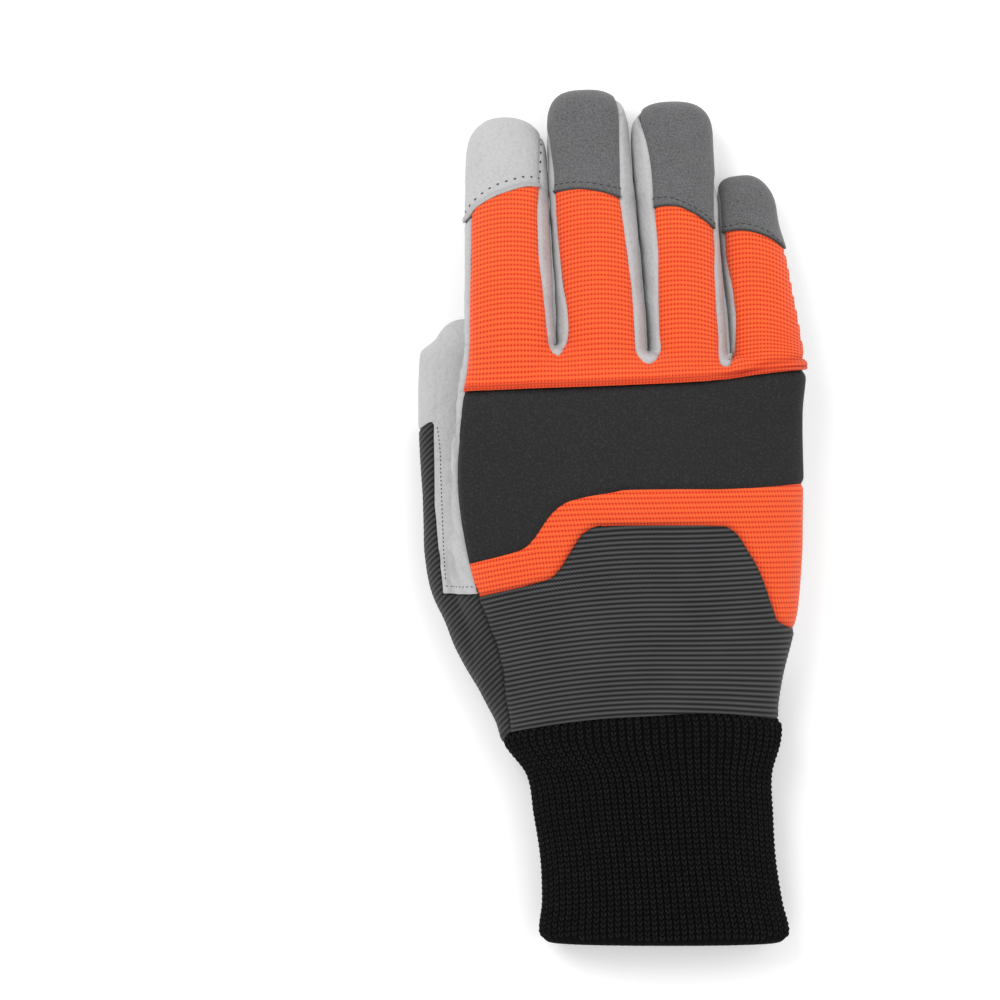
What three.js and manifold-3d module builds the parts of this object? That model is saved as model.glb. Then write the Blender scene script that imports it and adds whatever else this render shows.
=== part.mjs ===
// A sewn work glove for the right hand, lying palm down with its thumb tucked under the index side.
// It is a hollow hand of thin walls, cut along its seams into panels: leather palm and finger sides,
// ribbed stretch fabric on the back, a smooth guard panel over the knuckles, suede fingertips,
// a quilted palm patch and a knitted cuff that is open at the wrist.
// Millimetres. X runs from the thumb to the little finger, Y from the cuff to the fingertips,
// and Z up from the surface that the glove lies on.
import * as THREE from 'three';
import { mergeVertices } from 'three/addons/utils/BufferGeometryUtils.js';
import Module from 'manifold-3d';

const wasm = await Module();
wasm.setup();

// Palm, from the wrist seam to the webs between the fingers.
const wristSeamY = -70;
const palmLength = 126;
const palmWidth = 121;
const palmThickness = 39;
const knuckleSkew = 3; // degrees that the line of the webs turns back towards the little finger

// Cuff, from the wrist seam to the mouth.
const cuffLength = 77;
const cuffWidth = 83;
const cuffThickness = 31;

// Thumb, from its root inside the heel of the palm to its tip.
const thumbLength = 129.5;
const thumbRootY = -60;
const thumbWidth = 28.5;
const thumbThickness = 22.5;

// Walls and clearances.
const shellWall = 2; // leather or fabric with its lining
const knitWall = 3.2; // double rib knit
const seamGap = 0.3; // between two panels that are sewn together
const patchThickness = 2.8; // the quilted patch at the middle of a channel
const quiltDepth = 1.4; // how far its stitch lines are pulled in
const fourchetteDrop = 5; // how far a finger's side wall reaches below its middle
const sideDrop = 6; // the same for the side panel beside the index knuckle
const webRound = 12; // how fast the palm's front end draws in
const tipInset = 2; // from a fingertip back to the end of the strip on its back
const thumbFrontStart = 0.62; // share of the thumb's length that the palm leather reaches
const frontRoot = -1; // from a web down to the seam of the finger's front
const splitHeight = 14; // the gusset's upper and lower outlines meet at this height

// Each finger: place and width of its root across the palm, length from the web to the tip,
// sideways lean of the tip, how much it narrows, the height of the tip's middle,
// the strip of fabric's inset from each side, and the fingertip cap's length on each side.
const fingers = {
  index: {
    rootX: -35, length: 80.5, width: 30.5, thickness: 24, lean: -1, taper: 0.08, tipHeight: 10.6,
    insetLeft: 2, insetRight: 3, capLeft: 32, capRight: 24,
  },
  middle: {
    rootX: -3, length: 92, width: 30, thickness: 24.5, lean: -5, taper: 0.07, tipHeight: 10.8,
    insetLeft: 2.6, insetRight: 4.2, capLeft: 35, capRight: 37.5,
  },
  ring: {
    rootX: 26.4, length: 89.5, width: 26, thickness: 23.5, lean: -5.2, taper: -0.05, tipHeight: 10.4,
    insetLeft: 4.6, insetRight: 2, capLeft: 36.5, capRight: 44,
  },
  little: {
    rootX: 54.6, length: 65.5, width: 24.6, thickness: 21, lean: -7.4, taper: 0.2, tipHeight: 9.3,
    insetLeft: 2.2, insetRight: 2.8, capLeft: 20, capRight: 26,
  },
};
const fingerOrder = ['index', 'middle', 'ring', 'little'];
const fingerRootDepth = 16; // a finger's tube starts this far inside the palm

// How round the sections are: 2 is an ellipse, more is squarer.
const sectionPower = 2.35;
const tipPower = 2.5;

const palmSides = 24;
const fingerSides = 12;

// Sections of the palm. along is a share of palmLength from the wrist seam, centre and width are
// shares of palmWidth, rise and thick of palmThickness, and roll is in degrees, thumb side up.
const palmRows = [
  { along: -0.08, centre: 0.090, width: 0.775, rise: 0.38, thick: 0.80, roll: 0 },
  { along: 0.00, centre: 0.080, width: 0.795, rise: 0.39, thick: 0.83, roll: 0 },
  { along: 0.13, centre: 0.060, width: 0.873, rise: 0.43, thick: 0.92, roll: 1 },
  { along: 0.28, centre: 0.060, width: 0.944, rise: 0.48, thick: 1.00, roll: 2 },
  { along: 0.44, centre: 0.056, width: 0.982, rise: 0.57, thick: 0.99, roll: 4 },
  { along: 0.62, centre: 0.050, width: 1.005, rise: 0.67, thick: 0.92, roll: 6.5 },
  { along: 0.80, centre: 0.051, width: 0.998, rise: 0.74, thick: 0.81, roll: 7.5 },
  { along: 0.93, centre: 0.059, width: 0.980, rise: 0.75, thick: 0.70, roll: 7.5 },
  { along: 1.00, centre: 0.063, width: 0.950, rise: 0.74, thick: 0.56, roll: 7.5 },
];

// Sections of the cuff. along is a share of cuffLength from the wrist seam towards the mouth,
// shift is a share of cuffWidth, and width, rise and thick are shares of its own sizes.
const cuffRows = [
  { along: -0.14, shift: 0.112, width: 1.170, rise: 0.500, thick: 1.060 },
  { along: 0.02, shift: 0.130, width: 1.160, rise: 0.500, thick: 1.060 },
  { along: 0.10, shift: 0.135, width: 1.140, rise: 0.495, thick: 1.050 },
  { along: 0.24, shift: 0.166, width: 1.010, rise: 0.480, thick: 0.980 },
  { along: 0.42, shift: 0.184, width: 0.985, rise: 0.445, thick: 0.950 },
  { along: 0.62, shift: 0.204, width: 0.968, rise: 0.430, thick: 0.920 },
  { along: 0.82, shift: 0.222, width: 0.990, rise: 0.420, thick: 0.900 },
  { along: 0.95, shift: 0.230, width: 1.030, rise: 0.420, thick: 0.900 },
  { along: 1.00, shift: 0.230, width: 0.985, rise: 0.410, thick: 0.830 },
];

// Sections of the thumb. along is a share of thumbLength, side a share of palmWidth,
// and rise, width and thick are shares of the thumb's own sizes.
const thumbRows = [
  { along: 0.03, side: -0.235, rise: 0.66, width: 1.00, thick: 1.15 },
  { along: 0.21, side: -0.328, rise: 0.62, width: 1.14, thick: 1.18 },
  { along: 0.40, side: -0.392, rise: 0.53, width: 1.09, thick: 1.08 },
  { along: 0.58, side: -0.420, rise: 0.49, width: 1.02, thick: 1.02 },
  { along: 0.73, side: -0.430, rise: 0.48, width: 1.00, thick: 1.00 },
  { along: 0.86, side: -0.431, rise: 0.48, width: 0.98, thick: 0.98 },
  { along: 1.00, side: -0.426, rise: 0.46, width: 0.95, thick: 0.92 },
];

// A finger's own shape. along is a share of its length from the web, narrow of its taper,
// thick of its thickness, drop of the way down from its root to its tip, and lean of its lean.
const fingerRows = [
  { along: -0.20, narrow: 0.00, thick: 0.98, drop: 0.00, lean: -0.06 },
  { along: 0.00, narrow: 0.00, thick: 1.00, drop: 0.00, lean: 0.00 },
  { along: 0.25, narrow: 0.20, thick: 0.98, drop: 0.13, lean: 0.25 },
  { along: 0.50, narrow: 0.50, thick: 0.96, drop: 0.38, lean: 0.55 },
  { along: 0.75, narrow: 0.80, thick: 0.93, drop: 0.74, lean: 0.85 },
  { along: 1.00, narrow: 1.00, thick: 0.90, drop: 1.00, lean: 1.00 },
];

// Seam lines drawn on the glove's plan. across is a share of palmWidth from the frame's
// middle, and along is a share of palmLength from the wrist seam.
const guardTopLine = [
  { across: -0.420, along: 0.900 },
  { across: -0.260, along: 0.906 },
  { across: -0.030, along: 0.914 },
  { across: 0.257, along: 0.928 },
  { across: 0.428, along: 0.950 },
  { across: 0.550, along: 0.963 },
];
const guardBottomLine = [
  { across: -0.405, along: 0.432 },
  { across: -0.265, along: 0.468 },
  { across: -0.222, along: 0.498 },
  { across: -0.185, along: 0.550 },
  { across: -0.151, along: 0.586 },
  { across: -0.105, along: 0.608 },
  { across: 0.000, along: 0.627 },
  { across: 0.070, along: 0.635 },
  { across: 0.360, along: 0.638 },
  { across: 0.550, along: 0.652 },
];
const bandBottomLine = [
  { across: -0.375, along: 0.342 },
  { across: -0.194, along: 0.386 },
  { across: -0.151, along: 0.413 },
  { across: -0.114, along: 0.468 },
  { across: -0.086, along: 0.509 },
  { across: -0.063, along: 0.525 },
  { across: -0.011, along: 0.537 },
  { across: 0.279, along: 0.537 },
  { across: 0.345, along: 0.523 },
  { across: 0.388, along: 0.468 },
  { across: 0.425, along: 0.405 },
  { across: 0.468, along: 0.293 },
  { across: 0.485, along: 0.271 },
  { across: 0.540, along: 0.248 },
];
const wristLine = [
  { across: -0.370, along: -0.060 },
  { across: -0.277, along: -0.025 },
  { across: -0.086, along: 0.006 },
  { across: 0.086, along: 0.019 },
  { across: 0.257, along: 0.027 },
  { across: 0.371, along: 0.021 },
  { across: 0.473, along: 0.006 },
  { across: 0.560, along: -0.015 },
];
// The seam that joins the back to the leather and the gusset on the thumb side.
const backLeftEdge = [
  { across: -0.405, along: 1.020 },
  { across: -0.405, along: 0.950 },
  { across: -0.420, along: 0.880 },
  { across: -0.430, along: 0.772 },
  { across: -0.436, along: 0.676 },
  { across: -0.428, along: 0.567 },
  { across: -0.399, along: 0.421 },
  { across: -0.373, along: 0.339 },
  { across: -0.328, along: 0.219 },
  { across: -0.308, along: 0.151 },
  { across: -0.299, along: 0.074 },
  { across: -0.270, along: -0.090 },
];
// The back's little finger side: set in above the guard's foot, then round the side below it.
const backRightEdge = [
  { across: 0.700, along: -0.090 },
  { across: 0.700, along: 0.560 },
  { across: 0.526, along: 0.620 },
  { across: 0.526, along: 1.000 },
];
// The gusset is the thumb's back, the wrist's thumb side and the band under the wrist.
const gussetTopOutline = [
  { across: -0.700, along: 0.824 },
  { across: -0.500, along: 0.824 },
  { across: -0.501, along: 0.600 },
  { across: -0.490, along: 0.480 },
  { across: -0.472, along: 0.353 },
  { across: -0.330, along: 0.353 },
  { across: -0.230, along: -0.120 },
  { across: -0.700, along: -0.120 },
];
const gussetBottomOutline = [
  { across: -0.700, along: 0.824 },
  { across: -0.500, along: 0.824 },
  { across: -0.470, along: 0.630 },
  { across: -0.415, along: 0.470 },
  { across: -0.330, along: 0.345 },
  { across: -0.200, along: 0.250 },
  { across: -0.100, along: 0.120 },
  { across: -0.100, along: -0.120 },
  { across: -0.700, along: -0.120 },
];
const wristBandOutline = [
  { across: -0.330, along: 0.345 },
  { across: -0.200, along: 0.250 },
  { across: -0.030, along: 0.180 },
  { across: 0.180, along: 0.140 },
  { across: 0.700, along: 0.120 },
  { across: 0.700, along: -0.120 },
  { across: -0.330, along: -0.120 },
];
// Leather over the thumb's back, above the gusset.
const thumbTipOutline = [
  { across: -0.700, along: 0.824 },
  { across: -0.500, along: 0.824 },
  { across: -0.495, along: 0.960 },
  { across: -0.470, along: 1.140 },
  { across: -0.700, along: 1.140 },
];
const sidePanelOutline = [
  { across: -0.700, along: 0.353 },
  { across: -0.360, along: 0.353 },
  { across: -0.360, along: 0.900 },
  { across: -0.700, along: 0.900 },
];
// The quilted patch under the knuckles, and the places of its stitch lines along the palm.
const patchOutline = [
  { across: -0.300, along: 0.560 },
  { across: -0.140, along: 0.500 },
  { across: 0.300, along: 0.500 },
  { across: 0.440, along: 0.540 },
  { across: 0.470, along: 0.640 },
  { across: 0.455, along: 0.860 },
  { across: 0.080, along: 0.900 },
  { across: -0.330, along: 0.860 },
  { across: -0.360, along: 0.720 },
];
const quiltCount = 5; // stitch lines
const quiltStart = 0.56; // the first line, as a share of palmLength
const quiltStep = 0.07;

// Materials.
const finish = (color, roughness) => new THREE.MeshStandardMaterial({ color, roughness, metalness: 0 });
const greyLeather = finish('#cfcfcf', 0.62);
const orangeRib = finish('#ff5a1f', 0.75);
const blackGuard = finish('#2d2d2d', 0.6);
const greyRib = finish('#3f3f40', 0.85);
const greySuede = finish('#666666', 0.9);
const blackKnit = finish('#121212', 0.95);

const degrees = THREE.MathUtils.degToRad;
const farAway = 200; // past every face of the glove

// A table's row at a share along it: each column on a smooth curve through the rows.
function rowAt(rows, along) {
  const last = rows.length - 1;
  const next = Math.min(last, Math.max(1, rows.findIndex((row) => row.along >= along)));
  const k = along > rows[last].along ? last : next;
  const [a, b] = [rows[k - 1], rows[k]];
  const before = rows[Math.max(0, k - 2)];
  const after = rows[Math.min(last, k + 1)];
  const span = b.along - a.along;
  const t = THREE.MathUtils.clamp((along - a.along) / span, 0, 1);
  const made = { along };
  for (const key of Object.keys(a)) {
    if (key === 'along') continue;
    const slopeA = k > 1 ? ((b[key] - before[key]) / (b.along - before.along)) * span : b[key] - a[key];
    const slopeB = k < last ? ((after[key] - a[key]) / (after.along - a.along)) * span : b[key] - a[key];
    const [t2, t3] = [t * t, t * t * t];
    made[key] = (2 * t3 - 3 * t2 + 1) * a[key] + (t3 - 2 * t2 + t) * slopeA
      + (3 * t2 - 2 * t3) * b[key] + (t3 - t2) * slopeB;
  }
  return made;
}

// A closed ring of points: a rounded section with its middle, its own axes and half sizes.
// No point of it is lower than the floor that it is given.
function ring({ centre, across, up, halfWidth, halfThick, sides, floor }) {
  const points = [];
  for (let i = 0; i < sides; i += 1) {
    const angle = (2 * Math.PI * i) / sides;
    const [c, s] = [Math.cos(angle), Math.sin(angle)];
    const reach = (Math.abs(c) ** sectionPower + Math.abs(s) ** sectionPower) ** (-1 / sectionPower);
    const point = centre.clone()
      .addScaledVector(across, c * reach * halfWidth)
      .addScaledVector(up, s * reach * halfThick);
    point.z = Math.max(point.z, floor);
    points.push(point);
  }
  return points;
}

// A manifold solid of a closed geometry.
function solidOf(geometry) {
  const bare = geometry.clone();
  bare.deleteAttribute('normal');
  bare.deleteAttribute('uv');
  const merged = mergeVertices(bare, 1e-4);
  const solid = new wasm.Manifold(new wasm.Mesh({
    numProp: 3,
    vertProperties: new Float32Array(merged.attributes.position.array),
    triVerts: new Uint32Array(merged.index.array),
  }));
  return solid;
}

// A closed solid through rings that all have the same number of points.
function loft(rings) {
  const sides = rings[0].length;
  const points = rings.flat();
  const faces = [];
  for (let r = 0; r + 1 < rings.length; r += 1) {
    for (let i = 0; i < sides; i += 1) {
      const j = (i + 1) % sides;
      const [a, b, c, d] = [r * sides + i, r * sides + j, (r + 1) * sides + i, (r + 1) * sides + j];
      faces.push(a, c, b, b, c, d);
    }
  }
  for (const [first, turn] of [[0, false], [(rings.length - 1) * sides, true]]) {
    const middle = rings[first / sides].reduce((sum, p) => sum.add(p), new THREE.Vector3());
    points.push(middle.divideScalar(sides));
    for (let i = 0; i < sides; i += 1) {
      const [a, b] = [first + i, first + ((i + 1) % sides)];
      faces.push(...(turn ? [points.length - 1, b, a] : [points.length - 1, a, b]));
    }
  }
  const geometry = new THREE.BufferGeometry().setFromPoints(points);
  geometry.setIndex(faces);
  return solidOf(geometry);
}

const xAxis = new THREE.Vector3(1, 0, 0);
const zAxis = new THREE.Vector3(0, 0, 1);
const palmY = (along) => wristSeamY + along * palmLength;
const palmRow = (y) => rowAt(palmRows, (y - wristSeamY) / palmLength);
// How far the palm's sections are sheared back at a place across it.
const skewAt = (x, along) => {
  const centre = palmRows.at(-1).centre * palmWidth;
  return Math.tan(degrees(knuckleSkew)) * (centre - x) * Math.max(0, along);
};
const webY = (x) => palmY(1) + skewAt(x, 1);
// The height of the palm's middle at a place on its plan.
function palmMiddle(x, y) {
  const row = palmRow(Math.min(y, palmY(1)));
  return row.rise * palmThickness + Math.tan(degrees(row.roll)) * (row.centre * palmWidth - x);
}

// One section of the palm, made smaller all round by an inset. closing flattens it.
function palmRing(along, inset, closing) {
  const row = rowAt(palmRows, Math.min(along, 1));
  const roll = degrees(row.roll);
  const made = ring({
    centre: new THREE.Vector3(row.centre * palmWidth, 0, row.rise * palmThickness),
    across: new THREE.Vector3(Math.cos(roll), 0, -Math.sin(roll)),
    up: new THREE.Vector3(Math.sin(roll), 0, Math.cos(roll)),
    halfWidth: (row.width * palmWidth) / 2 - inset - (1 - closing) * webRound,
    halfThick: ((row.thick * palmThickness) / 2 - inset) * closing,
    sides: palmSides,
    floor: Math.max(0, inset),
  });
  for (const point of made) point.y = palmY(along) + skewAt(point.x, along);
  return made;
}

// The palm's form, made smaller all round by an inset for the hollow inside it.
function palmForm(inset) {
  const rings = palmRows.map((row) => palmRing(row.along, inset, 1));
  rings.push(palmRing(1.013, inset, 0.86), palmRing(1.02, inset, 0.6));
  for (const point of rings.slice(-3).flat()) point.y -= inset;
  return loft(rings);
}

// The cuff's form, the same way.
function cuffForm(inset) {
  const rings = cuffRows.map((row) => ring({
    centre: new THREE.Vector3(row.shift * cuffWidth, wristSeamY - row.along * cuffLength, row.rise * cuffThickness),
    across: xAxis,
    up: zAxis,
    halfWidth: (row.width * cuffWidth) / 2 - inset,
    halfThick: (row.thick * cuffThickness) / 2 - inset,
    sides: palmSides,
    floor: inset,
  }).reverse());
  return loft(rings);
}

// A tube along sections that rounds off to a blunt tip.
// sectionAt gives the middle, width and thickness at a share along the tube.
function tubeForm({ sectionAt, from, length, tipRound, inset, steps }) {
  const reach = 1 - inset / length;
  const roundFrom = reach - (tipRound - inset) / length;
  const shares = [];
  for (let i = 0; i < steps; i += 1) shares.push([from + ((roundFrom - from) * i) / steps, 1]);
  for (const turn of [0, 0.5, 0.78, 0.93]) {
    const size = (1 - turn ** tipPower) ** (1 / tipPower);
    shares.push([roundFrom + (reach - roundFrom) * turn, size]);
  }
  shares.push([reach, 0.15]);
  const rings = shares.map(([share, size]) => {
    const section = sectionAt(share);
    const ahead = sectionAt(Math.min(1, share + 0.02));
    const behind = sectionAt(share - 0.02);
    const tangent = ahead.centre.clone().sub(behind.centre).normalize();
    const across = new THREE.Vector3().crossVectors(tangent, zAxis).normalize();
    return ring({
      centre: section.centre,
      across,
      up: new THREE.Vector3().crossVectors(across, tangent),
      halfWidth: (section.width / 2 - inset) * size,
      halfThick: (section.thick / 2 - inset) * size,
      sides: fingerSides,
      floor: inset,
    });
  });
  return loft(rings);
}

function fingerSection(finger, along) {
  const row = rowAt(fingerRows, along);
  const rootZ = palmMiddle(finger.rootX, palmY(1));
  return {
    centre: new THREE.Vector3(
      finger.rootX + row.lean * finger.lean,
      webY(finger.rootX) + along * finger.length,
      THREE.MathUtils.lerp(rootZ, finger.tipHeight, row.drop),
    ),
    width: finger.width * (1 - finger.taper * row.narrow),
    thick: finger.thickness * row.thick,
  };
}
const fingerForm = (finger, inset) => tubeForm({
  sectionAt: (along) => fingerSection(finger, along),
  from: -fingerRootDepth / finger.length,
  length: finger.length,
  tipRound: finger.width * 0.52,
  inset,
  steps: 5,
});

function thumbSection(along) {
  const row = rowAt(thumbRows, along);
  return {
    centre: new THREE.Vector3(
      row.side * palmWidth,
      thumbRootY + along * thumbLength,
      row.rise * thumbThickness,
    ),
    width: row.width * thumbWidth,
    thick: row.thick * thumbThickness,
  };
}
const thumbForm = (inset) => tubeForm({
  sectionAt: thumbSection,
  from: thumbRows[0].along,
  length: thumbLength,
  tipRound: thumbWidth * 0.55,
  inset,
  steps: 6,
});

const joined = (solids) => solids.reduce((sum, solid) => sum.add(solid));

// The whole hand, solid, at an inset from its outer surface.
const handForm = (inset) => joined([
  palmForm(inset),
  thumbForm(inset),
  ...fingerOrder.map((name) => fingerForm(fingers[name], inset)),
]);

// Points of a seam line or outline on the plan, in millimetres.
const planPoints = (rows) => rows.map((row) => new THREE.Vector2(
  row.across * palmWidth,
  palmY(row.along),
));

// A closed outline moved outwards by a distance, corner by corner.
function grown(outline, distance) {
  const turn = THREE.ShapeUtils.isClockWise(outline) ? -1 : 1;
  return outline.map((point, i) => {
    const before = outline[(i + outline.length - 1) % outline.length];
    const after = outline[(i + 1) % outline.length];
    const a = point.clone().sub(before).normalize();
    const b = after.clone().sub(point).normalize();
    const normal = new THREE.Vector2(a.y + b.y, -a.x - b.x).normalize();
    const miter = Math.max(0.5, normal.x * a.y - normal.y * a.x);
    return point.clone().addScaledVector(normal, (turn * distance) / miter);
  });
}

// A prism that stands on a closed outline of the plan, from one height to another.
function prism(outline, low = -farAway, high = farAway) {
  const geometry = new THREE.ExtrudeGeometry(new THREE.Shape(outline), {
    depth: high - low,
    bevelEnabled: false,
  });
  geometry.translate(0, 0, low);
  return solidOf(geometry);
}

// Everything on the far side of a line across the plan, up or down the glove.
function beyond(line, side) {
  const far = side * farAway;
  return [
    new THREE.Vector2(-farAway, line[0].y),
    ...line,
    new THREE.Vector2(farAway, line.at(-1).y),
    new THREE.Vector2(farAway, far),
    new THREE.Vector2(-farAway, far),
  ];
}

// The strip of plan over a finger, inset from its sides and its tip.
function fingerOutline(finger, left, right, tip) {
  const edge = (side, inset) => {
    const points = [];
    for (const along of [-0.05, 0.25, 0.5, 0.7]) {
      const section = fingerSection(finger, along);
      points.push(new THREE.Vector2(section.centre.x + side * (section.width / 2 - inset), section.centre.y));
    }
    const section = fingerSection(finger, 1);
    const half = section.width / 2 - inset;
    const round = finger.width * 0.52 - tip;
    for (const angle of [10, 35, 60]) {
      points.push(new THREE.Vector2(
        section.centre.x + side * half * Math.cos(degrees(angle)),
        section.centre.y - tip - round * (1 - Math.sin(degrees(angle))),
      ));
    }
    return points;
  };
  return [...edge(1, right), ...edge(-1, left).reverse()];
}

// Everything above a sheet through the middle of the palm and of each finger.
function aboveMiddle(lift) {
  const start = wristSeamY - cuffLength - 20;
  const end = webY(fingers.middle.rootX) + fingers.middle.length + 20;
  const rows = 14;
  const columns = fingerOrder.length * 2 + 2;
  const points = [];
  for (const top of [false, true]) {
    for (let r = 0; r <= rows; r += 1) {
      const y = start + ((end - start) * r) / rows;
      const known = fingerOrder.flatMap((name) => {
        const finger = fingers[name];
        const along = (y - webY(finger.rootX)) / finger.length;
        const section = fingerSection(finger, THREE.MathUtils.clamp(along, 0, 1));
        return [-1, 1].map((side) => {
          const x = section.centre.x + (side * section.width) / 2;
          return new THREE.Vector3(x, y, along < 0 ? palmMiddle(x, y) : section.centre.z);
        });
      });
      const slope = y < palmY(1) ? Math.tan(degrees(palmRow(y).roll)) : 0;
      const [first, last] = [known[0], known.at(-1)];
      known.unshift(new THREE.Vector3(-farAway / 2, y, first.z + slope * (first.x + farAway / 2)));
      known.push(new THREE.Vector3(farAway / 2, y, last.z - slope * (farAway / 2 - last.x)));
      for (const point of known) points.push(top ? point.clone().setZ(farAway) : point.setZ(point.z + lift));
    }
  }
  const half = (rows + 1) * columns;
  const at = (top, r, c) => (top ? half : 0) + r * columns + c;
  const faces = [];
  const quad = (a, b, c, d) => faces.push(a, b, c, a, c, d);
  for (let r = 0; r < rows; r += 1) {
    for (let c = 0; c + 1 < columns; c += 1) {
      quad(at(0, r, c), at(0, r + 1, c), at(0, r + 1, c + 1), at(0, r, c + 1));
      quad(at(1, r, c), at(1, r, c + 1), at(1, r + 1, c + 1), at(1, r + 1, c));
    }
    quad(at(0, r, 0), at(1, r, 0), at(1, r + 1, 0), at(0, r + 1, 0));
    quad(at(0, r, columns - 1), at(0, r + 1, columns - 1), at(1, r + 1, columns - 1), at(1, r, columns - 1));
  }
  for (let c = 0; c + 1 < columns; c += 1) {
    quad(at(0, 0, c), at(0, 0, c + 1), at(1, 0, c + 1), at(1, 0, c));
    quad(at(0, rows, c), at(1, rows, c), at(1, rows, c + 1), at(0, rows, c + 1));
  }
  const geometry = new THREE.BufferGeometry().setFromPoints(points);
  geometry.setIndex(faces);
  return solidOf(geometry);
}

const glove = new THREE.Group();

// Adds one panel to the glove as a named mesh.
function addPanel(name, solid, material) {
  const { vertProperties, triVerts } = solid.getMesh();
  const geometry = new THREE.BufferGeometry();
  geometry.setAttribute('position', new THREE.BufferAttribute(vertProperties, 3));
  geometry.setIndex(new THREE.BufferAttribute(triVerts, 1));
  const flat = geometry.toNonIndexed();
  flat.computeVertexNormals();
  const mesh = new THREE.Mesh(flat, material);
  mesh.name = name;
  glove.add(mesh);
}

// The hollow hand, open at the wrist seam.
const halfGap = seamGap / 2;
const wristCurve = planPoints(wristLine);
const handShell = handForm(0)
  .subtract(handForm(shellWall))
  .intersect(prism(grown(beyond(wristCurve, 1), -halfGap)));

const above = aboveMiddle(halfGap);
const aboveGrown = aboveMiddle(-halfGap);

// Back of the hand: fabric from the wrist seam to the fingertips.
const backField = [
  ...planPoints(backRightEdge).map((point) => point.setY(Math.min(point.y, webY(point.x)))),
  ...planPoints(backLeftEdge).map((point) => point.setY(Math.min(point.y, webY(point.x)))),
];
const fingerStrip = (finger, inset) => prism(fingerOutline(
  finger,
  finger.insetLeft + inset,
  finger.insetRight + inset,
  tipInset + inset,
));
const backRegion = (inset) => joined([
  prism(grown(backField, -inset)),
  ...fingerOrder.map((name) => fingerStrip(fingers[name], inset)),
]);
const back = handShell.intersect(above).intersect(backRegion(halfGap));
let leather = handShell.subtract(aboveGrown.intersect(backRegion(-halfGap)));

// A fingertip cap is the end of a finger's strip, beyond a line that bows towards the tip.
function capZone(finger, inset) {
  const tip = fingerSection(finger, 1);
  const half = tip.width / 2 + 1;
  const at = (side, cap) => new THREE.Vector2(tip.centre.x + side * half, tip.centre.y - cap);
  return prism(grown([
    at(-1, finger.capLeft),
    at(0, (finger.capRight + finger.capLeft) / 2 - 1.5),
    at(1, finger.capRight),
    at(1, -10),
    at(-1, -10),
  ], -inset));
}
for (const name of fingerOrder) {
  const finger = fingers[name];
  const cap = back.intersect(fingerStrip(finger, 0)).intersect(capZone(finger, halfGap));
  addPanel(`${name}_cap`, cap, name === 'index' ? greyLeather : greySuede);
}
const caps = joined(fingerOrder.map((name) => fingerStrip(fingers[name], -1)
  .intersect(capZone(fingers[name], -halfGap))));

const zone = (line, side, inset) => prism(grown(beyond(planPoints(line), side), -inset));
const belowCaps = back.subtract(caps);
addPanel('knuckle_fabric', belowCaps.intersect(zone(guardTopLine, 1, halfGap)), orangeRib);
addPanel(
  'guard_panel',
  belowCaps.intersect(zone(guardTopLine, -1, halfGap)).intersect(zone(guardBottomLine, 1, halfGap)),
  blackGuard,
);
addPanel(
  'band_fabric',
  belowCaps.intersect(zone(guardBottomLine, -1, halfGap)).intersect(zone(bandBottomLine, 1, halfGap)),
  orangeRib,
);
addPanel('wrist_panel', belowCaps.intersect(zone(bandBottomLine, -1, halfGap)), greyRib);

// Takes a region out of what is left of the leather and adds it as a panel of its own.
function cutFromLeather(name, regionAt, material) {
  addPanel(name, leather.intersect(regionAt(halfGap)), material);
  leather = leather.subtract(regionAt(-halfGap));
}

cutFromLeather('thumb_gusset', (inset) => joined([
  prism(grown(planPoints(gussetTopOutline), -inset), splitHeight + inset),
  prism(grown(planPoints(gussetBottomOutline), -inset), -farAway, splitHeight + 1 - inset),
  prism(grown(planPoints(wristBandOutline), -inset)).subtract(aboveMiddle(-inset)),
]), greyRib);

cutFromLeather('thumb_tip', (inset) => prism(grown(planPoints(thumbTipOutline), -inset)), greyLeather);

cutFromLeather('side_panel', (inset) => prism(grown(planPoints(sidePanelOutline), -inset))
  .intersect(aboveMiddle(inset - sideDrop)), greyLeather);

// A fourchette is the side wall of one finger, the web and the side wall of the next.
function sideStrip(finger, side, inset) {
  const points = [[], []];
  for (const along of [-0.09, 0.25, 0.5, 0.75, 0.9]) {
    const section = fingerSection(finger, along);
    const half = section.width / 2;
    const x = (reach) => section.centre.x + side * (half + reach);
    points[0].push(new THREE.Vector2(x(-fourchetteDrop), section.centre.y));
    points[1].push(new THREE.Vector2(x(shellWall), section.centre.y));
  }
  return prism(grown([...points[0], ...points[1].reverse()], -inset));
}
for (let i = 0; i + 1 < fingerOrder.length; i += 1) {
  const [a, b] = [fingers[fingerOrder[i]], fingers[fingerOrder[i + 1]]];
  cutFromLeather(`fourchette_${fingerOrder[i]}_${fingerOrder[i + 1]}`, (inset) => sideStrip(a, 1, inset)
    .add(sideStrip(b, -1, inset))
    .intersect(aboveMiddle(inset - fourchetteDrop)), greyLeather);
}

// The fronts of the fingers and of the thumb start at their roots.
for (const name of fingerOrder) {
  const finger = fingers[name];
  const cut = new THREE.Vector2(0, webY(finger.rootX) - frontRoot);
  cutFromLeather(`${name}_front`, (inset) => fingerForm(finger, inset - seamGap)
    .intersect(prism(grown(beyond([cut], 1), -inset))), greyLeather);
}

const thumbCut = new THREE.Vector2(0, thumbRootY + thumbLength * thumbFrontStart);
cutFromLeather('thumb_front', (inset) => thumbForm(inset - seamGap)
  .intersect(prism(grown(beyond([thumbCut], 1), -inset))), greyLeather);

addPanel('palm_leather', leather, greyLeather);

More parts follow.
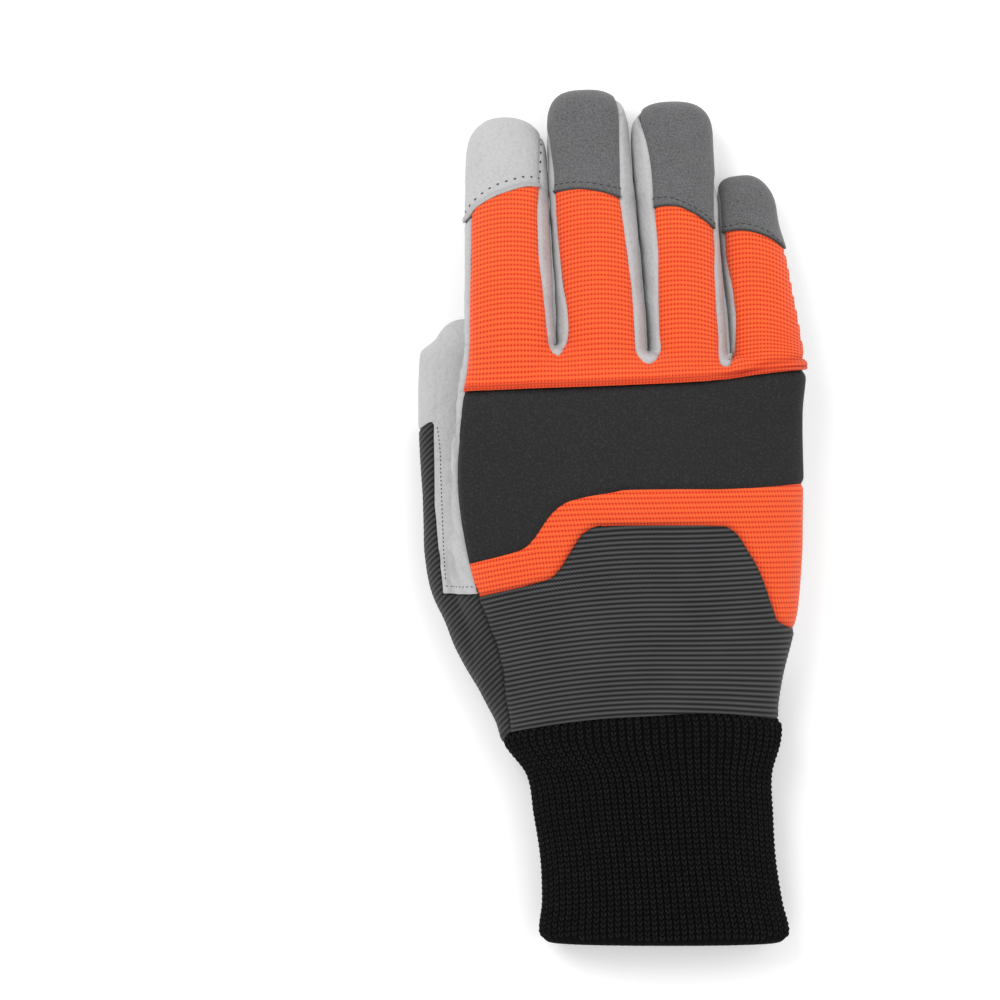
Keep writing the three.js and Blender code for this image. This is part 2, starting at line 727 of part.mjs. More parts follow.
// The quilted patch lies on the palm's outside and is pulled in along its stitch lines.
function patchForm() {
  const rings = [];
  for (let i = -2; i <= quiltCount * 2; i += 1) {
    const lift = seamGap + patchThickness - (i % 2 === 0 ? quiltDepth : 0);
    rings.push(palmRing(quiltStart + (i * quiltStep) / 2, -lift, 1));
  }
  return loft(rings)
    .subtract(handForm(-seamGap))
    .intersect(prism(planPoints(patchOutline)))
    .subtract(aboveGrown);
}
addPanel('palm_patch', patchForm(), greyLeather);

// The knitted cuff is sewn on under the wrist seam and is open at its mouth.
const cuffHollow = cuffForm(knitWall);
const mouthY = wristSeamY - cuffLength;
const mouth = prism([
  new THREE.Vector2(-farAway, mouthY + knitWall),
  new THREE.Vector2(farAway, mouthY + knitWall),
  new THREE.Vector2(farAway, mouthY - 5),
  new THREE.Vector2(-farAway, mouthY - 5),
]);
addPanel('knit_cuff', cuffForm(0)
  .subtract(cuffHollow)
  .intersect(prism(grown(beyond(wristCurve, -1), -halfGap))), blackKnit);

// The origin is under the middle of the glove, on the surface that it lies on.
const extent = new THREE.Box3().setFromObject(glove);
const middle = extent.getCenter(new THREE.Vector3());
glove.position.set(-middle.x, -middle.y, -extent.min.z);

export default glove;
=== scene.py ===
import math

import bpy
import numpy as np
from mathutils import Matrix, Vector
from mathutils.bvhtree import BVHTree
from mathutils.kdtree import KDTree


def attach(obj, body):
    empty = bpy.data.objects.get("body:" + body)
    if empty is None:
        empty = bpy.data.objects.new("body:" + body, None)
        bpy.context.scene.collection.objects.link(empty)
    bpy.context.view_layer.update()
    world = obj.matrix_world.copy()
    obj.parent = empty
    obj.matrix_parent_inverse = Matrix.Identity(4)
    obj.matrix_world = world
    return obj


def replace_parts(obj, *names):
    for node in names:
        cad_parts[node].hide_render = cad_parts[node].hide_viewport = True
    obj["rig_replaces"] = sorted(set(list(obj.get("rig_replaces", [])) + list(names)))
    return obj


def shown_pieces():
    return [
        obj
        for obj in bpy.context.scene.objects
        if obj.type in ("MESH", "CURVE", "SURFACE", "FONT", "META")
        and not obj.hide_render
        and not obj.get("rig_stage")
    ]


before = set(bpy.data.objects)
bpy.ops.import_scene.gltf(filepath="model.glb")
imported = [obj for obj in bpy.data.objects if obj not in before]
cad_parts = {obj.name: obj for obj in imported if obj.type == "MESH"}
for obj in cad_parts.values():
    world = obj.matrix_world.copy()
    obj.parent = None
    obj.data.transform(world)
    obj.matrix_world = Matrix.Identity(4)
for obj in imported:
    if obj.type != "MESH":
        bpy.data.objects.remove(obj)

bl_info = {
    "name": "Chainsaw Work Glove",
    "version": (1, 0, 0),
    "blender": (4, 5, 0),
    "location": "View3D > Sidebar > Glove",
    "description": "Builds one sewn work glove: rib fabric, leather palm, suede fingertips and knitted cuff",
    "category": "Object",
}

# Lengths are in millimetres and angles in degrees, as in the part's source, until a piece is made.
# The glove's middle sits over the origin, so every point moves by this before it becomes metres.
SHIFT = np.array((-0.526, -0.953, 0.0))
WRIST_Y = -70.0
PALM_LENGTH = 126.0
PALM_WIDTH = 121.0
PALM_THICKNESS = 39.0
KNUCKLE_SKEW = math.radians(3)
CUFF_LENGTH = 77.0
CUFF_WIDTH = 83.0
CUFF_THICKNESS = 31.0
THUMB_LENGTH = 129.5
THUMB_ROOT_Y = -60.0
THUMB_WIDTH = 28.5
THUMB_THICKNESS = 22.5
KNIT_WALL = 3.2
WEB_ROUND = 12.0
SECTION_POWER = 2.35
TIP_POWER = 2.5
ROOT_DEPTH = 16.0
SIDE_DROP = 6.0
FOURCHETTE_DROP = 5.0
CAP_LAP = 1.4
GAP_LEFT = .06
WEB_CLEAR = 61.8
PAST_TIPS = 165.0

# How far above the floor the lowest points stay, what a ray that misses gives, and the angle of a wall's rim.
FLOOR_GAP = .03
MISSED = -999.0
RIM_ANGLE = math.radians(70)

FINGER_COLUMNS = ("root_x", "length", "width", "thickness", "lean", "taper", "tip_height")
FINGERS = {name: dict(zip(FINGER_COLUMNS, row)) for name, row in {
    "index": (-35, 80.5, 30.5, 24, -1, .08, 10.6),
    "middle": (-3, 92, 30, 24.5, -5, .07, 10.8),
    "ring": (26.4, 89.5, 26, 23.5, -5.2, -.05, 10.4),
    "little": (54.6, 65.5, 24.6, 21, -7.4, .2, 9.3),
}.items()}
FINGER_NAMES = tuple(FINGERS)
# How far a finger is moved aside while the skin is made, and how its ribs lean.
FINGER_ASIDE = {"index": -4.0, "middle": -1.3, "ring": 1.4, "little": 4.6}
RIB_LEAN = {"index": .8, "middle": .2, "ring": -.6, "little": -1.3}

# along, centre, width, rise, thick, roll
PALM_ROWS = (
    (-.08, .090, .775, .38, .80, 0), (0, .080, .795, .39, .83, 0), (.13, .060, .873, .43, .92, 1),
    (.28, .060, .944, .48, 1.00, 2), (.44, .056, .982, .57, .99, 4), (.62, .050, 1.005, .67, .92, 6.5),
    (.80, .051, .998, .74, .81, 7.5), (.93, .059, .980, .75, .70, 7.5), (1.00, .063, .950, .74, .56, 7.5),
)
# Rings that close the palm's end: along, how far open.
PALM_END = ((1.002, .95), (1.006, .86), (1.009, .72), (1.011, .6))
PALM_SIDES, PALM_RINGS = 120, 70
TUBE_SIDES, TUBE_RINGS = 72, 40
# along, shift, width, rise, thick
CUFF_ROWS = (
    (-.14, .112, 1.17, .5, 1.06), (.02, .13, 1.16, .5, 1.06), (.10, .135, 1.14, .495, 1.05),
    (.24, .166, 1.01, .48, .98), (.42, .184, .985, .445, .95), (.62, .204, .968, .43, .92),
    (.82, .222, .99, .42, .9), (.95, .23, 1.03, .42, .9), (1.0, .23, .985, .41, .83),
)
# along, side, rise, width, thick
THUMB_ROWS = (
    (.03, -.235, .66, 1.00, 1.15), (.21, -.328, .62, 1.14, 1.18), (.40, -.392, .53, 1.09, 1.08),
    (.58, -.420, .49, 1.02, 1.02), (.73, -.430, .48, 1.00, 1.00), (.86, -.431, .48, .98, .98),
    (1.0, -.426, .46, .95, .92),
)
# along, narrow, thick, drop, lean
FINGER_ROWS = (
    (-.20, 0, .98, 0, -.06), (0, 0, 1, 0, 0), (.25, .20, .98, .13, .25), (.50, .50, .96, .38, .55),
    (.75, .80, .93, .74, .85), (1, 1, .90, 1, 1),
)

# y, how far the left side stands out
LEFT_SWELL = ((-90, 1.2), (-72, 1.2), (-64, 1.8), (-56, 2.1), (-46, 1.7), (-36, 1.1), (-28, 2.2),
              (-22, 2.45), (-11.4, 1.7), (-3, .7), (8, 0))
SWELL_FROM, SWELL_WIDTH = -24, 16

# Seam lines and outlines on the plan: across the palm's width, along its length.
GUARD_TOP = ((-.420, .900), (-.260, .906), (-.030, .914), (.257, .928), (.428, .950), (.550, .963))
GUARD_BOTTOM = ((-.405, .432), (-.265, .468), (-.222, .498), (-.185, .550), (-.151, .586), (-.105, .608),
                (0, .627), (.070, .635), (.360, .638), (.550, .652))
BAND_BOTTOM = ((-.375, .342), (-.194, .386), (-.151, .413), (-.114, .468), (-.086, .509), (-.063, .525),
               (-.011, .537), (.279, .537), (.345, .523), (.388, .468), (.425, .405), (.468, .293),
               (.485, .271), (.540, .248))
WRIST_LINE = ((-.370, -.082), (-.312, -.060), (-.277, -.027), (-.086, .006), (.086, .019), (.257, .027),
              (.371, .021), (.473, .006), (.560, -.015))
BACK_LEFT = ((-.405, 1.020), (-.405, .950), (-.420, .880), (-.430, .772), (-.436, .676), (-.428, .567),
             (-.399, .421), (-.373, .339), (-.328, .219), (-.308, .151), (-.299, .074), (-.270, -.090))
BACK_RIGHT = ((.700, -.090), (.700, 1.000))
GUSSET_TOP = ((-.700, .796), (-.545, .804), (-.520, .820), (-.508, .822), (-.502, .812), (-.501, .600),
              (-.490, .480), (-.472, .353), (-.330, .353), (-.230, -.120), (-.700, -.120))
GUSSET_BOTTOM = ((-.700, .796), (-.545, .804), (-.500, .804), (-.470, .630), (-.415, .470), (-.330, .345),
                 (-.200, .250), (-.100, .120), (-.100, -.120), (-.700, -.120))
# Rows of points to each rib, and how far apart the leather puckers beside the gusset.
ROWS_A_RIB = 5
PUCKER_PITCH = 1.4
GUSSET_EDGE = ((-.503, .815), (-.501, .600), (-.490, .480), (-.472, .353))
WRIST_BAND = ((-.330, .345), (-.200, .250), (-.030, .180), (.180, .140), (.700, .120), (.700, -.120),
              (-.330, -.120))
THUMB_TIP = ((-.700, .770), (-.500, .770), (-.495, .960), (-.470, 1.140), (-.700, 1.140))
SIDE_PANEL = ((-.700, .353), (-.360, .353), (-.360, .900), (-.700, .900))
PATCH = ((-.300, .560), (-.140, .500), (.300, .500), (.440, .540), (.470, .640), (.455, .860), (.080, .900),
         (-.330, .860), (-.360, .720))
QUILT_LINES = (.56, .63, .70, .77, .84)

# Outlines are read off the picture's seams, in its pixels, and seen from the camera over its middle.
PIXEL = .345
PICTURE = 1000
ORIGIN_PX = (610, 519)
HAND_HEIGHT = 22.0
LENS, SENSOR = 135, 36
EYE = ((PICTURE / 2 - ORIGIN_PX[0]) * PIXEL, (ORIGIN_PX[1] - PICTURE / 2) * PIXEL,
       PIXEL * PICTURE / SENSOR * LENS + HAND_HEIGHT)
FINGER_EDGE = {
    "index": ((463, 412), (465, 393), (466.8, 370), (468, 334), (468.6, 298), (469.5, 263), (470, 236),
              (470.8, 217), (472, 207), (480, 196), (494, 187), (511, 180), (526, 177), (537, 177),
              (539.5, 190), (538.2, 209), (538.7, 236), (540, 259), (542.7, 281), (545.4, 307), (547, 325),
              (549.3, 343), (552.5, 352)),
    "middle": ((558.7, 356), (563, 349), (567, 338), (567.7, 325), (565.9, 307), (562.3, 286), (558.7, 256),
               (556, 227), (554.3, 193), (553, 175), (550, 152), (546.5, 132), (538, 115), (542, 95), (557, 83),
               (575, 78), (592, 78), (606, 84), (614, 94), (618, 105), (619.8, 118), (620, 142), (620.5, 168),
               (620.4, 198), (622, 209), (625.7, 236), (629.3, 263), (632.9, 290), (634.7, 320), (636.1, 346),
               (638.2, 355), (643.9, 362)),
    "ring": ((649.5, 364), (655, 361), (659, 354), (660, 346), (658.6, 334), (657.9, 306), (657.6, 278),
             (657.6, 250), (655.8, 229), (653.7, 207), (651.8, 180), (648.8, 155), (643.8, 135), (638, 120),
             (634, 108), (640, 96), (655, 88), (674, 86), (693, 91), (706, 103), (713, 118), (715, 132),
             (715, 143), (714.8, 180), (714.8, 205), (714.8, 230), (716.1, 250), (715.4, 271), (716.1, 292),
             (717.5, 313), (719.4, 334), (719.5, 358), (721, 365)),
    "little": ((727.4, 367), (731.5, 364), (733, 356), (734, 346), (735.1, 320), (733.4, 303), (730.9, 285),
               (727.4, 271), (724.6, 256), (723.9, 242), (723.2, 232), (720.7, 217), (718.5, 197), (714, 182),
               (713, 168), (728, 162), (744, 164), (757, 172), (770, 182), (778, 194), (782, 211), (785, 231),
               (787.5, 248), (789.5, 256), (802, 262), (850, 270), (850, 412)),
}
CAP_LINES = {
    "index": ((455, 236), (464, 224), (470.8, 216.5), (476.7, 208.3), (493.5, 197.5), (510.5, 191),
              (526, 187.2), (541, 187.5)),
    "middle": ((535, 194.5), (554, 192.5), (570, 190.3), (583, 189.6), (600, 192), (620, 198.5), (636, 206)),
    "ring": ((640, 209), (653.7, 208), (666, 206), (680, 207.4), (697, 215.8), (714, 229.5), (722, 237)),
    "little": ((712, 234), (723, 232.6), (739, 230.5), (754.7, 232.6), (771.6, 239.6), (785, 250), (798, 262)),
}
INDEX_CAP_SIDE = ((540.5, 172), (540.2, 158), (541.5, 140), (541.5, 122), (541.5, 90))
# How square each finger's tip is at its left and right, and how far its sides stand out.
TIP_POWERS = {"index": (2.5, 2.5), "middle": (3.3, 2.5), "ring": (2.7, 2.8), "little": (4.6, 2.05)}
SIDE_GROWTH = {"index": (0, .35), "middle": (.35, .35), "ring": (.35, .8), "little": (.4, 0)}

# Folds beside the guard: points on the plan, depth and width.
CREASES = (
    (((-53.4, 54.0), (-53.8, 40.0), (-53.2, 24.0), (-52.0, 10.0)), .55, .8),
    (((-56.5, 46.0), (-57.4, 34.0), (-56.6, 20.0), (-55.8, 4.0)), .22, 1.1),
)
# A fold of the bright fabric over the little finger's knuckle.
KNUCKLE_FOLD = ((34.0, 47.5), (44.0, 49.5), (54.0, 53.2), (66.0, 55.0))

# The skin, its ray tree, the shared finishes and the panels, as each step leaves them for the next.
work = {}


def linear(text, alpha=1.0):
    """An sRGB hex colour as Blender's linear one."""
    parts = [int(text[i:i + 2], 16) / 255 for i in (1, 3, 5)]
    return tuple(c / 12.92 if c <= .04045 else ((c + .055) / 1.055) ** 2.4 for c in parts) + (alpha,)


def eased(t):
    """A smooth step from 0 to 1."""
    return t * t * (3 - 2 * t)


def fades(distance, width):
    """1 on a line, fading to nothing beside it."""
    return np.exp(-(distance / width) ** 2)


# The hand's form

def row_at(rows, along):
    """The table's rows at shares along it, each column on a smooth curve through the rows."""
    t = np.asarray(rows, float)
    a = np.atleast_1d(np.asarray(along, float)).ravel()
    last = len(t) - 1
    k = np.clip(np.searchsorted(t[:, 0], a), 1, last)
    low, high = t[k - 1], t[k]
    before, after = t[np.maximum(0, k - 2)], t[np.minimum(last, k + 1)]
    span = (high[:, 0] - low[:, 0])[:, None]
    s = np.clip((a - low[:, 0])[:, None] / span, 0, 1)
    slope_a = np.where((k > 1)[:, None], (high - before) / (high[:, :1] - before[:, :1]) * span, high - low)
    slope_b = np.where((k < last)[:, None], (after - low) / (after[:, :1] - low[:, :1]) * span, high - low)
    s2, s3 = s * s, s * s * s
    return ((2 * s3 - 3 * s2 + 1) * low + (s3 - 2 * s2 + s) * slope_a
            + (3 * s2 - 2 * s3) * high + (s3 - s2) * slope_b)


def rounded(angle):
    """A point of the rounded section at an angle."""
    c, s = np.cos(angle), np.sin(angle)
    reach = (np.abs(c) ** SECTION_POWER + np.abs(s) ** SECTION_POWER) ** (-1 / SECTION_POWER)
    return c * reach, s * reach


def skew_at(x, along):
    """How far the knuckles' skew moves a place along the hand."""
    return math.tan(KNUCKLE_SKEW) * (.063 * PALM_WIDTH - x) * np.maximum(0, along)


def web_y(x):
    """Where the webs lie."""
    return WRIST_Y + PALM_LENGTH + skew_at(x, 1.0)


def palm_middle(x, y):
    """Height of the palm's middle."""
    x = np.asarray(x, float)
    row = row_at(PALM_ROWS, (np.minimum(y, WRIST_Y + PALM_LENGTH) - WRIST_Y) / PALM_LENGTH + 0 * x)
    middle = row[:, 3] * PALM_THICKNESS + np.tan(np.radians(row[:, 5])) * (row[:, 1] * PALM_WIDTH - x.ravel())
    return middle.reshape(x.shape)


def palm_point(along, angle, closing=1.0):
    """Points of the palm's outer form."""
    row = row_at(PALM_ROWS, np.minimum(along, 1.0))
    roll = np.radians(row[:, 5])
    c, s = rounded(angle)
    c = c * (row[:, 2] * PALM_WIDTH / 2 - (1 - closing) * WEB_ROUND)
    s = s * row[:, 4] * PALM_THICKNESS / 2 * closing
    x = row[:, 1] * PALM_WIDTH + c * np.cos(roll) + s * np.sin(roll)
    z = np.maximum(0, row[:, 3] * PALM_THICKNESS - c * np.sin(roll) + s * np.cos(roll))
    return np.column_stack((x, WRIST_Y + along * PALM_LENGTH + skew_at(x, along), z))


def finger_section(finger, along):
    """Middle, width and thickness of a finger at shares along it."""
    row = row_at(FINGER_ROWS, along)
    root_z = float(palm_middle(np.array([finger["root_x"]]), np.array([WRIST_Y + PALM_LENGTH]))[0])
    x = finger["root_x"] + row[:, 4] * finger["lean"]
    y = web_y(finger["root_x"]) + np.atleast_1d(along) * finger["length"]
    z = root_z + (finger["tip_height"] - root_z) * row[:, 3]
    return (np.column_stack((x, y, z)), finger["width"] * (1 - finger["taper"] * row[:, 1]),
            finger["thickness"] * row[:, 2])


def thumb_section(along):
    """Middle, width and thickness of the thumb at shares along it."""
    row = row_at(THUMB_ROWS, along)
    centre = np.column_stack((row[:, 1] * PALM_WIDTH, THUMB_ROOT_Y + np.atleast_1d(along) * THUMB_LENGTH,
                              row[:, 2] * THUMB_THICKNESS))
    return centre, row[:, 3] * THUMB_WIDTH, row[:, 4] * THUMB_THICKNESS


def tube_rings(section_at, start, length, tip_round, sides, steps, powers=(TIP_POWER, TIP_POWER)):
    """Rings of a tube that rounds off to a blunt tip, by a power for its left and its right."""
    round_from = 1 - tip_round / length
    ease = np.array((0, .25, .45, .6, .72, .82, .89, .94, .975, 1))
    along = np.concatenate((start + (round_from - start) * np.arange(steps) / steps,
                            round_from + (1 - round_from) * ease))

    def sizes(power):
        tip = (1 - ease ** power) ** (1 / power)
        tip[-1] = .12
        return np.concatenate((np.ones(steps), tip))[:, None]
    size = sizes(TIP_POWER)
    centre, width, thick = section_at(along)
    tangent = section_at(np.minimum(1, along + .02))[0] - section_at(along - .02)[0]
    tangent /= np.linalg.norm(tangent, axis=1)[:, None]
    across = np.cross(tangent, (0, 0, 1.0))
    across /= np.linalg.norm(across, axis=1)[:, None]
    up = np.cross(across, tangent)
    c, s = rounded(np.linspace(0, 2 * math.pi, sides, endpoint=False))
    side_size = np.where(c[None, :] < 0, sizes(powers[0]), sizes(powers[1]))
    rings = (centre[:, None] + across[:, None] * (c[None, :] * width[:, None] / 2 * side_size)[..., None]
             + up[:, None] * (s[None, :] * thick[:, None] / 2 * size)[..., None])
    rings[..., 2] = np.maximum(0, rings[..., 2])
    return rings


def loft(rings):
    """Points and faces of a closed form through rings of equal length."""
    count, sides = rings.shape[:2]
    points = np.vstack((rings.reshape(-1, 3), rings[0].mean(0), rings[-1].mean(0)))
    r, i = np.meshgrid(np.arange(count - 1), np.arange(sides), indexing="ij")
    j = (i + 1) % sides
    near, far = r * sides, (r + 1) * sides
    quads = np.stack((near + i, far + i, far + j, near + j), -1).reshape(-1, 4)
    i, j = np.arange(sides), (np.arange(sides) + 1) % sides
    first = np.column_stack((np.full(sides, count * sides), i, j))
    end = (count - 1) * sides
    last = np.column_stack((np.full(sides, count * sides + 1), end + j, end + i))
    return points, quads.tolist() + first.tolist() + last.tolist()


def side_face(name, side, y):
    """Where a finger's tube ends at its left or right."""
    f = FINGERS[name]
    centre, width, _ = finger_section(f, np.clip((y - web_y(f["root_x"])) / f["length"], 0, 1))
    return centre[:, 0] + side * width / 2


def side_growth(name, side, y):
    """How far a finger's side stands out from its tube, so that neighbours nearly touch."""
    k = FINGER_NAMES.index(name)
    if not 0 <= k + side < len(FINGER_NAMES):
        return 0 * y
    other = FINGER_NAMES[k + side]
    own, theirs = SIDE_GROWTH[name][side > 0], SIDE_GROWTH[other][side < 0]
    gap = (side_face(other, -side, y) - side_face(name, side, y)) * side
    return np.minimum(own, gap * own / (own + theirs) - GAP_LEFT)


def spread_of(name, y):
    """How far a finger is moved aside while the skin is made, so that neighbours don't grow together."""
    return FINGER_ASIDE[name] * eased(np.clip((y - web_y(FINGERS[name]["root_x"]) + 1) / 6, 0, 1))


def plain_mesh(name, points, faces):
    """A mesh from points and faces."""
    mesh = bpy.data.meshes.new(name)
    mesh.from_pydata([tuple(p) for p in points], [], faces)
    mesh.update()
    return mesh


def mesh_arrays(mesh):
    """A mesh's points and triangles."""
    mesh.calc_loop_triangles()
    points = np.empty(len(mesh.vertices) * 3)
    mesh.vertices.foreach_get("co", points)
    tris = np.empty(len(mesh.loop_triangles) * 3, np.int32)
    mesh.loop_triangles.foreach_get("vertices", tris)
    return points.reshape(-1, 3), tris.reshape(-1, 3).astype(np.int64)


def evaluated(obj):
    """An object's mesh with its modifiers applied."""
    graph = bpy.context.evaluated_depsgraph_get()
    return bpy.data.meshes.new_from_object(obj.evaluated_get(graph))


def point_normals(points, tris):
    """Each point's normal, from the triangles round it by their size."""
    a, b, c = points[tris[:, 0]], points[tris[:, 1]], points[tris[:, 2]]
    face = np.cross(b - a, c - a)
    total = np.zeros_like(points)
    for k in range(3):
        for axis in range(3):
            total[:, axis] += np.bincount(tris[:, k], face[:, axis], len(points))
    return total / np.maximum(np.linalg.norm(total, axis=1), 1e-12)[:, None]


def value_noise(points, size, seed):
    """Smooth seeded noise from -1 to 1 at points, with cells of a size in millimetres."""
    lattice = np.random.default_rng(seed).uniform(-1, 1, (32, 32, 32))
    q = points / size
    base = np.floor(q).astype(int)
    t = eased(q - base)
    total = np.zeros(len(points))
    for i in (0, 1):
        for j in (0, 1):
            for k in (0, 1):
                w = (np.where(i, t[:, 0], 1 - t[:, 0]) * np.where(j, t[:, 1], 1 - t[:, 1])
                     * np.where(k, t[:, 2], 1 - t[:, 2]))
                total += w * lattice[(base[:, 0] + i) % 32, (base[:, 1] + j) % 32, (base[:, 2] + k) % 32]
    return total


def build_skin(voxel):
    """The whole hand's outer skin: palm, thumb and fingers grown together and smoothed."""
    angle = np.linspace(0, 2 * math.pi, PALM_SIDES, endpoint=False)
    stations = [(along, 1.0) for along in np.linspace(-.08, 1, PALM_RINGS)] + list(PALM_END)
    rings = [palm_point(np.full(PALM_SIDES, along), angle, closing) for along, closing in stations]
    parts = [loft(np.array(rings)),
             loft(tube_rings(thumb_section, .03, THUMB_LENGTH, THUMB_WIDTH * .55, TUBE_SIDES, TUBE_RINGS))]
    for name, finger in FINGERS.items():
        tube = tube_rings(lambda a, f=finger: finger_section(f, a), -ROOT_DEPTH / finger["length"],
                          finger["length"], finger["width"] * .52, TUBE_SIDES, TUBE_RINGS, TIP_POWERS[name])
        middle = tube.mean(1)[:, None, 0]
        share = np.clip((tube[..., 0] - middle) / (finger["width"] / 2), -1, 1)
        left, right = (side_growth(name, side, tube[..., 1].ravel()).reshape(share.shape)
                       for side in (-1, 1))
        tube[..., 0] += np.where(share < 0, left, right) * share
        # The root narrows where it runs into the palm.
        root = np.clip((tube[..., 1] - tube[..., 1].min()) / 12, 0, 1)
        tube[..., 0] = middle + (tube[..., 0] - middle) * (.9 + .1 * eased(root))
        tube[..., 0] += spread_of(name, tube[..., 1])
        parts.append(loft(tube))
    points, faces, count = [], [], 0
    for p, f in parts:
        points.append(p)
        faces += [[i + count for i in face] for face in f]
        count += len(p)
    obj = bpy.data.objects.new("skin", plain_mesh("skin", np.vstack(points), faces))
    bpy.context.scene.collection.objects.link(obj)
    remesh = obj.modifiers.new("grow together", "REMESH")
    remesh.mode = "VOXEL"
    remesh.voxel_size = voxel
    smooth = obj.modifiers.new("smooth", "SMOOTH")
    smooth.factor = .5
    smooth.iterations = 9
    mesh = evaluated(obj)
    points, tris = mesh_arrays(mesh)
    bpy.data.objects.remove(obj)
    bpy.data.meshes.remove(mesh)
    # Fingers go back beside each other.
    y = points[:, 1]
    aside = [np.maximum(side_face(n, -1, y) + spread_of(n, y) - points[:, 0],
                        points[:, 0] - side_face(n, 1, y) - spread_of(n, y)) for n in FINGER_NAMES]
    nearest = np.argmin(aside, axis=0)
    for k, name in enumerate(FINGER_NAMES):
        mine = nearest == k
        points[mine, 0] -= spread_of(name, y[mine])
    # The gusset swells out beside the thumb's root and the wrist.
    within = (y >= LEFT_SWELL[0][0]) & (y <= LEFT_SWELL[-1][0])
    share = np.clip((SWELL_FROM - points[:, 0]) / SWELL_WIDTH, 0, 1)
    points[:, 0] -= row_at(LEFT_SWELL, y)[:, 1] * within * eased(share)
    return points, tris


# Outlines and cutting

def on_plan(line):
    """A line given in shares of the palm, in millimetres."""
    return np.array([(a * PALM_WIDTH, WRIST_Y + b * PALM_LENGTH) for a, b in line])


def curved(line, steps=6):
    """A smooth curve through a line's points."""
    p = np.asarray(line, float)
    p = np.vstack((2 * p[0] - p[1], p, 2 * p[-1] - p[-2]))
    made = []
    for i in range(1, len(p) - 2):
        for t in np.linspace(0, 1, steps, endpoint=False):
            a, b, c, d = p[i - 1:i + 3]
            made.append(.5 * (2 * b + (c - a) * t + (2 * a - 5 * b + 4 * c - d) * t * t
                              + (3 * b - a - 3 * c + d) * t ** 3))
    made.append(p[-2])
    return np.array(made)


def line_distance(line, x, y, closed=False):
    """The distance to a line on the plan, and its sign: positive inside when it is closed."""
    line = np.asarray(line, float)
    ends = np.roll(line, -1, 0) if closed else line[1:]
    starts = line if closed else line[:-1]
    best = np.full(len(x), 1e9)
    inside = np.zeros(len(x), bool)
    for (ax, ay), (bx, by) in zip(starts, ends):
        dx, dy = bx - ax, by - ay
        t = np.clip(((x - ax) * dx + (y - ay) * dy) / max(dx * dx + dy * dy, 1e-9), 0, 1)
        best = np.minimum(best, (x - ax - t * dx) ** 2 + (y - ay - t * dy) ** 2)
        if closed:
            crosses = (ay > y) != (by > y)
            inside ^= crosses & (x < dx * (y - ay) / (dy if abs(dy) > 1e-12 else 1e-12) + ax)
    best = np.sqrt(best)
    return np.where(inside, best, -best) if closed else best


def beyond(line, side):
    """A closed outline of everything on the far side of a line."""
    far = side * 300.0
    return np.vstack(((-300.0, line[0][1]), line, (300.0, line[-1][1]), (300.0, far), (-300.0, far)))


def middle_sheet(x, y):
    """Height of the sheet through the middle of the palm and of each finger."""
    xs, zs = [], []
    for f in FINGERS.values():
        along = (y - web_y(f["root_x"])) / f["length"]
        centre, width, _ = finger_section(f, np.clip(along, 0, 1))
        for side in (-1, 1):
            sx = centre[:, 0] + side * width / 2
            xs.append(sx)
            zs.append(np.where(along < 0, palm_middle(sx, y), centre[:, 2]))
    slope = np.where(y < WRIST_Y + PALM_LENGTH,
                     np.tan(np.radians(row_at(PALM_ROWS, (y - WRIST_Y) / PALM_LENGTH)[:, 5])), 0)
    xs = [np.full(len(x), -100.0)] + xs + [np.full(len(x), 100.0)]
    zs = [zs[0] + slope * (xs[1] + 100)] + zs + [zs[-1] - slope * (100 - xs[-2])]
    height = np.zeros(len(x))
    for k in range(len(xs) - 1):
        here = (x >= xs[k]) & (x <= xs[k + 1])
        t = (x - xs[k]) / np.maximum(xs[k + 1] - xs[k], 1e-6)
        height = np.where(here, zs[k] + t * (zs[k + 1] - zs[k]), height)
    return height


def plan_px(points):
    """Places in the picture, in millimetres on the plane at the height of the hand."""
    return np.array([((px - ORIGIN_PX[0]) * PIXEL, (ORIGIN_PX[1] - py) * PIXEL) for px, py in points])


def seen(points):
    """Where the camera sees points, on the plane at the height of the hand."""
    scale = (EYE[2] - HAND_HEIGHT) / (EYE[2] - points[:, 2])
    return EYE[0] + (points[:, 0] - EYE[0]) * scale, EYE[1] + (points[:, 1] - EYE[1]) * scale


def cap_line(name):
    """The lower edge of a fingertip's cap."""
    return curved(plan_px(CAP_LINES[name]), 5)


def cap_outline(name):
    """A closed outline round a fingertip's cap, past the tip."""
    line = cap_line(name)
    if name == "index":
        side = plan_px(INDEX_CAP_SIDE)
        return np.vstack((line, side, (line[0][0], side[-1][1])))
    return np.vstack((line, (line[-1][0], PAST_TIPS), (line[0][0], PAST_TIPS)))


def owner_of(x, y):
    """Which finger each place lies on, from the middle of the gaps between them."""
    owner = np.zeros(len(x), int)
    for name, other in zip(FINGER_NAMES, FINGER_NAMES[1:]):
        faces = side_face(name, 1, y), side_face(other, -1, y)
        middle = (faces[0] + faces[1] + side_growth(name, 1, y) - side_growth(other, -1, y)) / 2
        # Past the tip of the shorter one, the gap is wide open.
        past = [np.clip(y - web_y(f["root_x"]) - f["length"] + .5, 0, 20) * .6
                for f in (FINGERS[name], FINGERS[other])]
        owner += x > middle - past[0] + past[1]
    return owner


def side_strip(finger, side):
    """The strip on the plan beside a finger's edge, where its side wall lies."""
    points = [[], []]
    for along in (-.09, .1, .25, .4, .5, .6, .75, .9):
        centre, width, _ = finger_section(finger, np.array((along,)))
        x, half = centre[0, 0], width[0] / 2
        points[0].append((x + side * (half - FOURCHETTE_DROP), centre[0, 1]))
        points[1].append((x + side * (half + 3), centre[0, 1]))
    return np.array(points[0] + points[1][::-1])


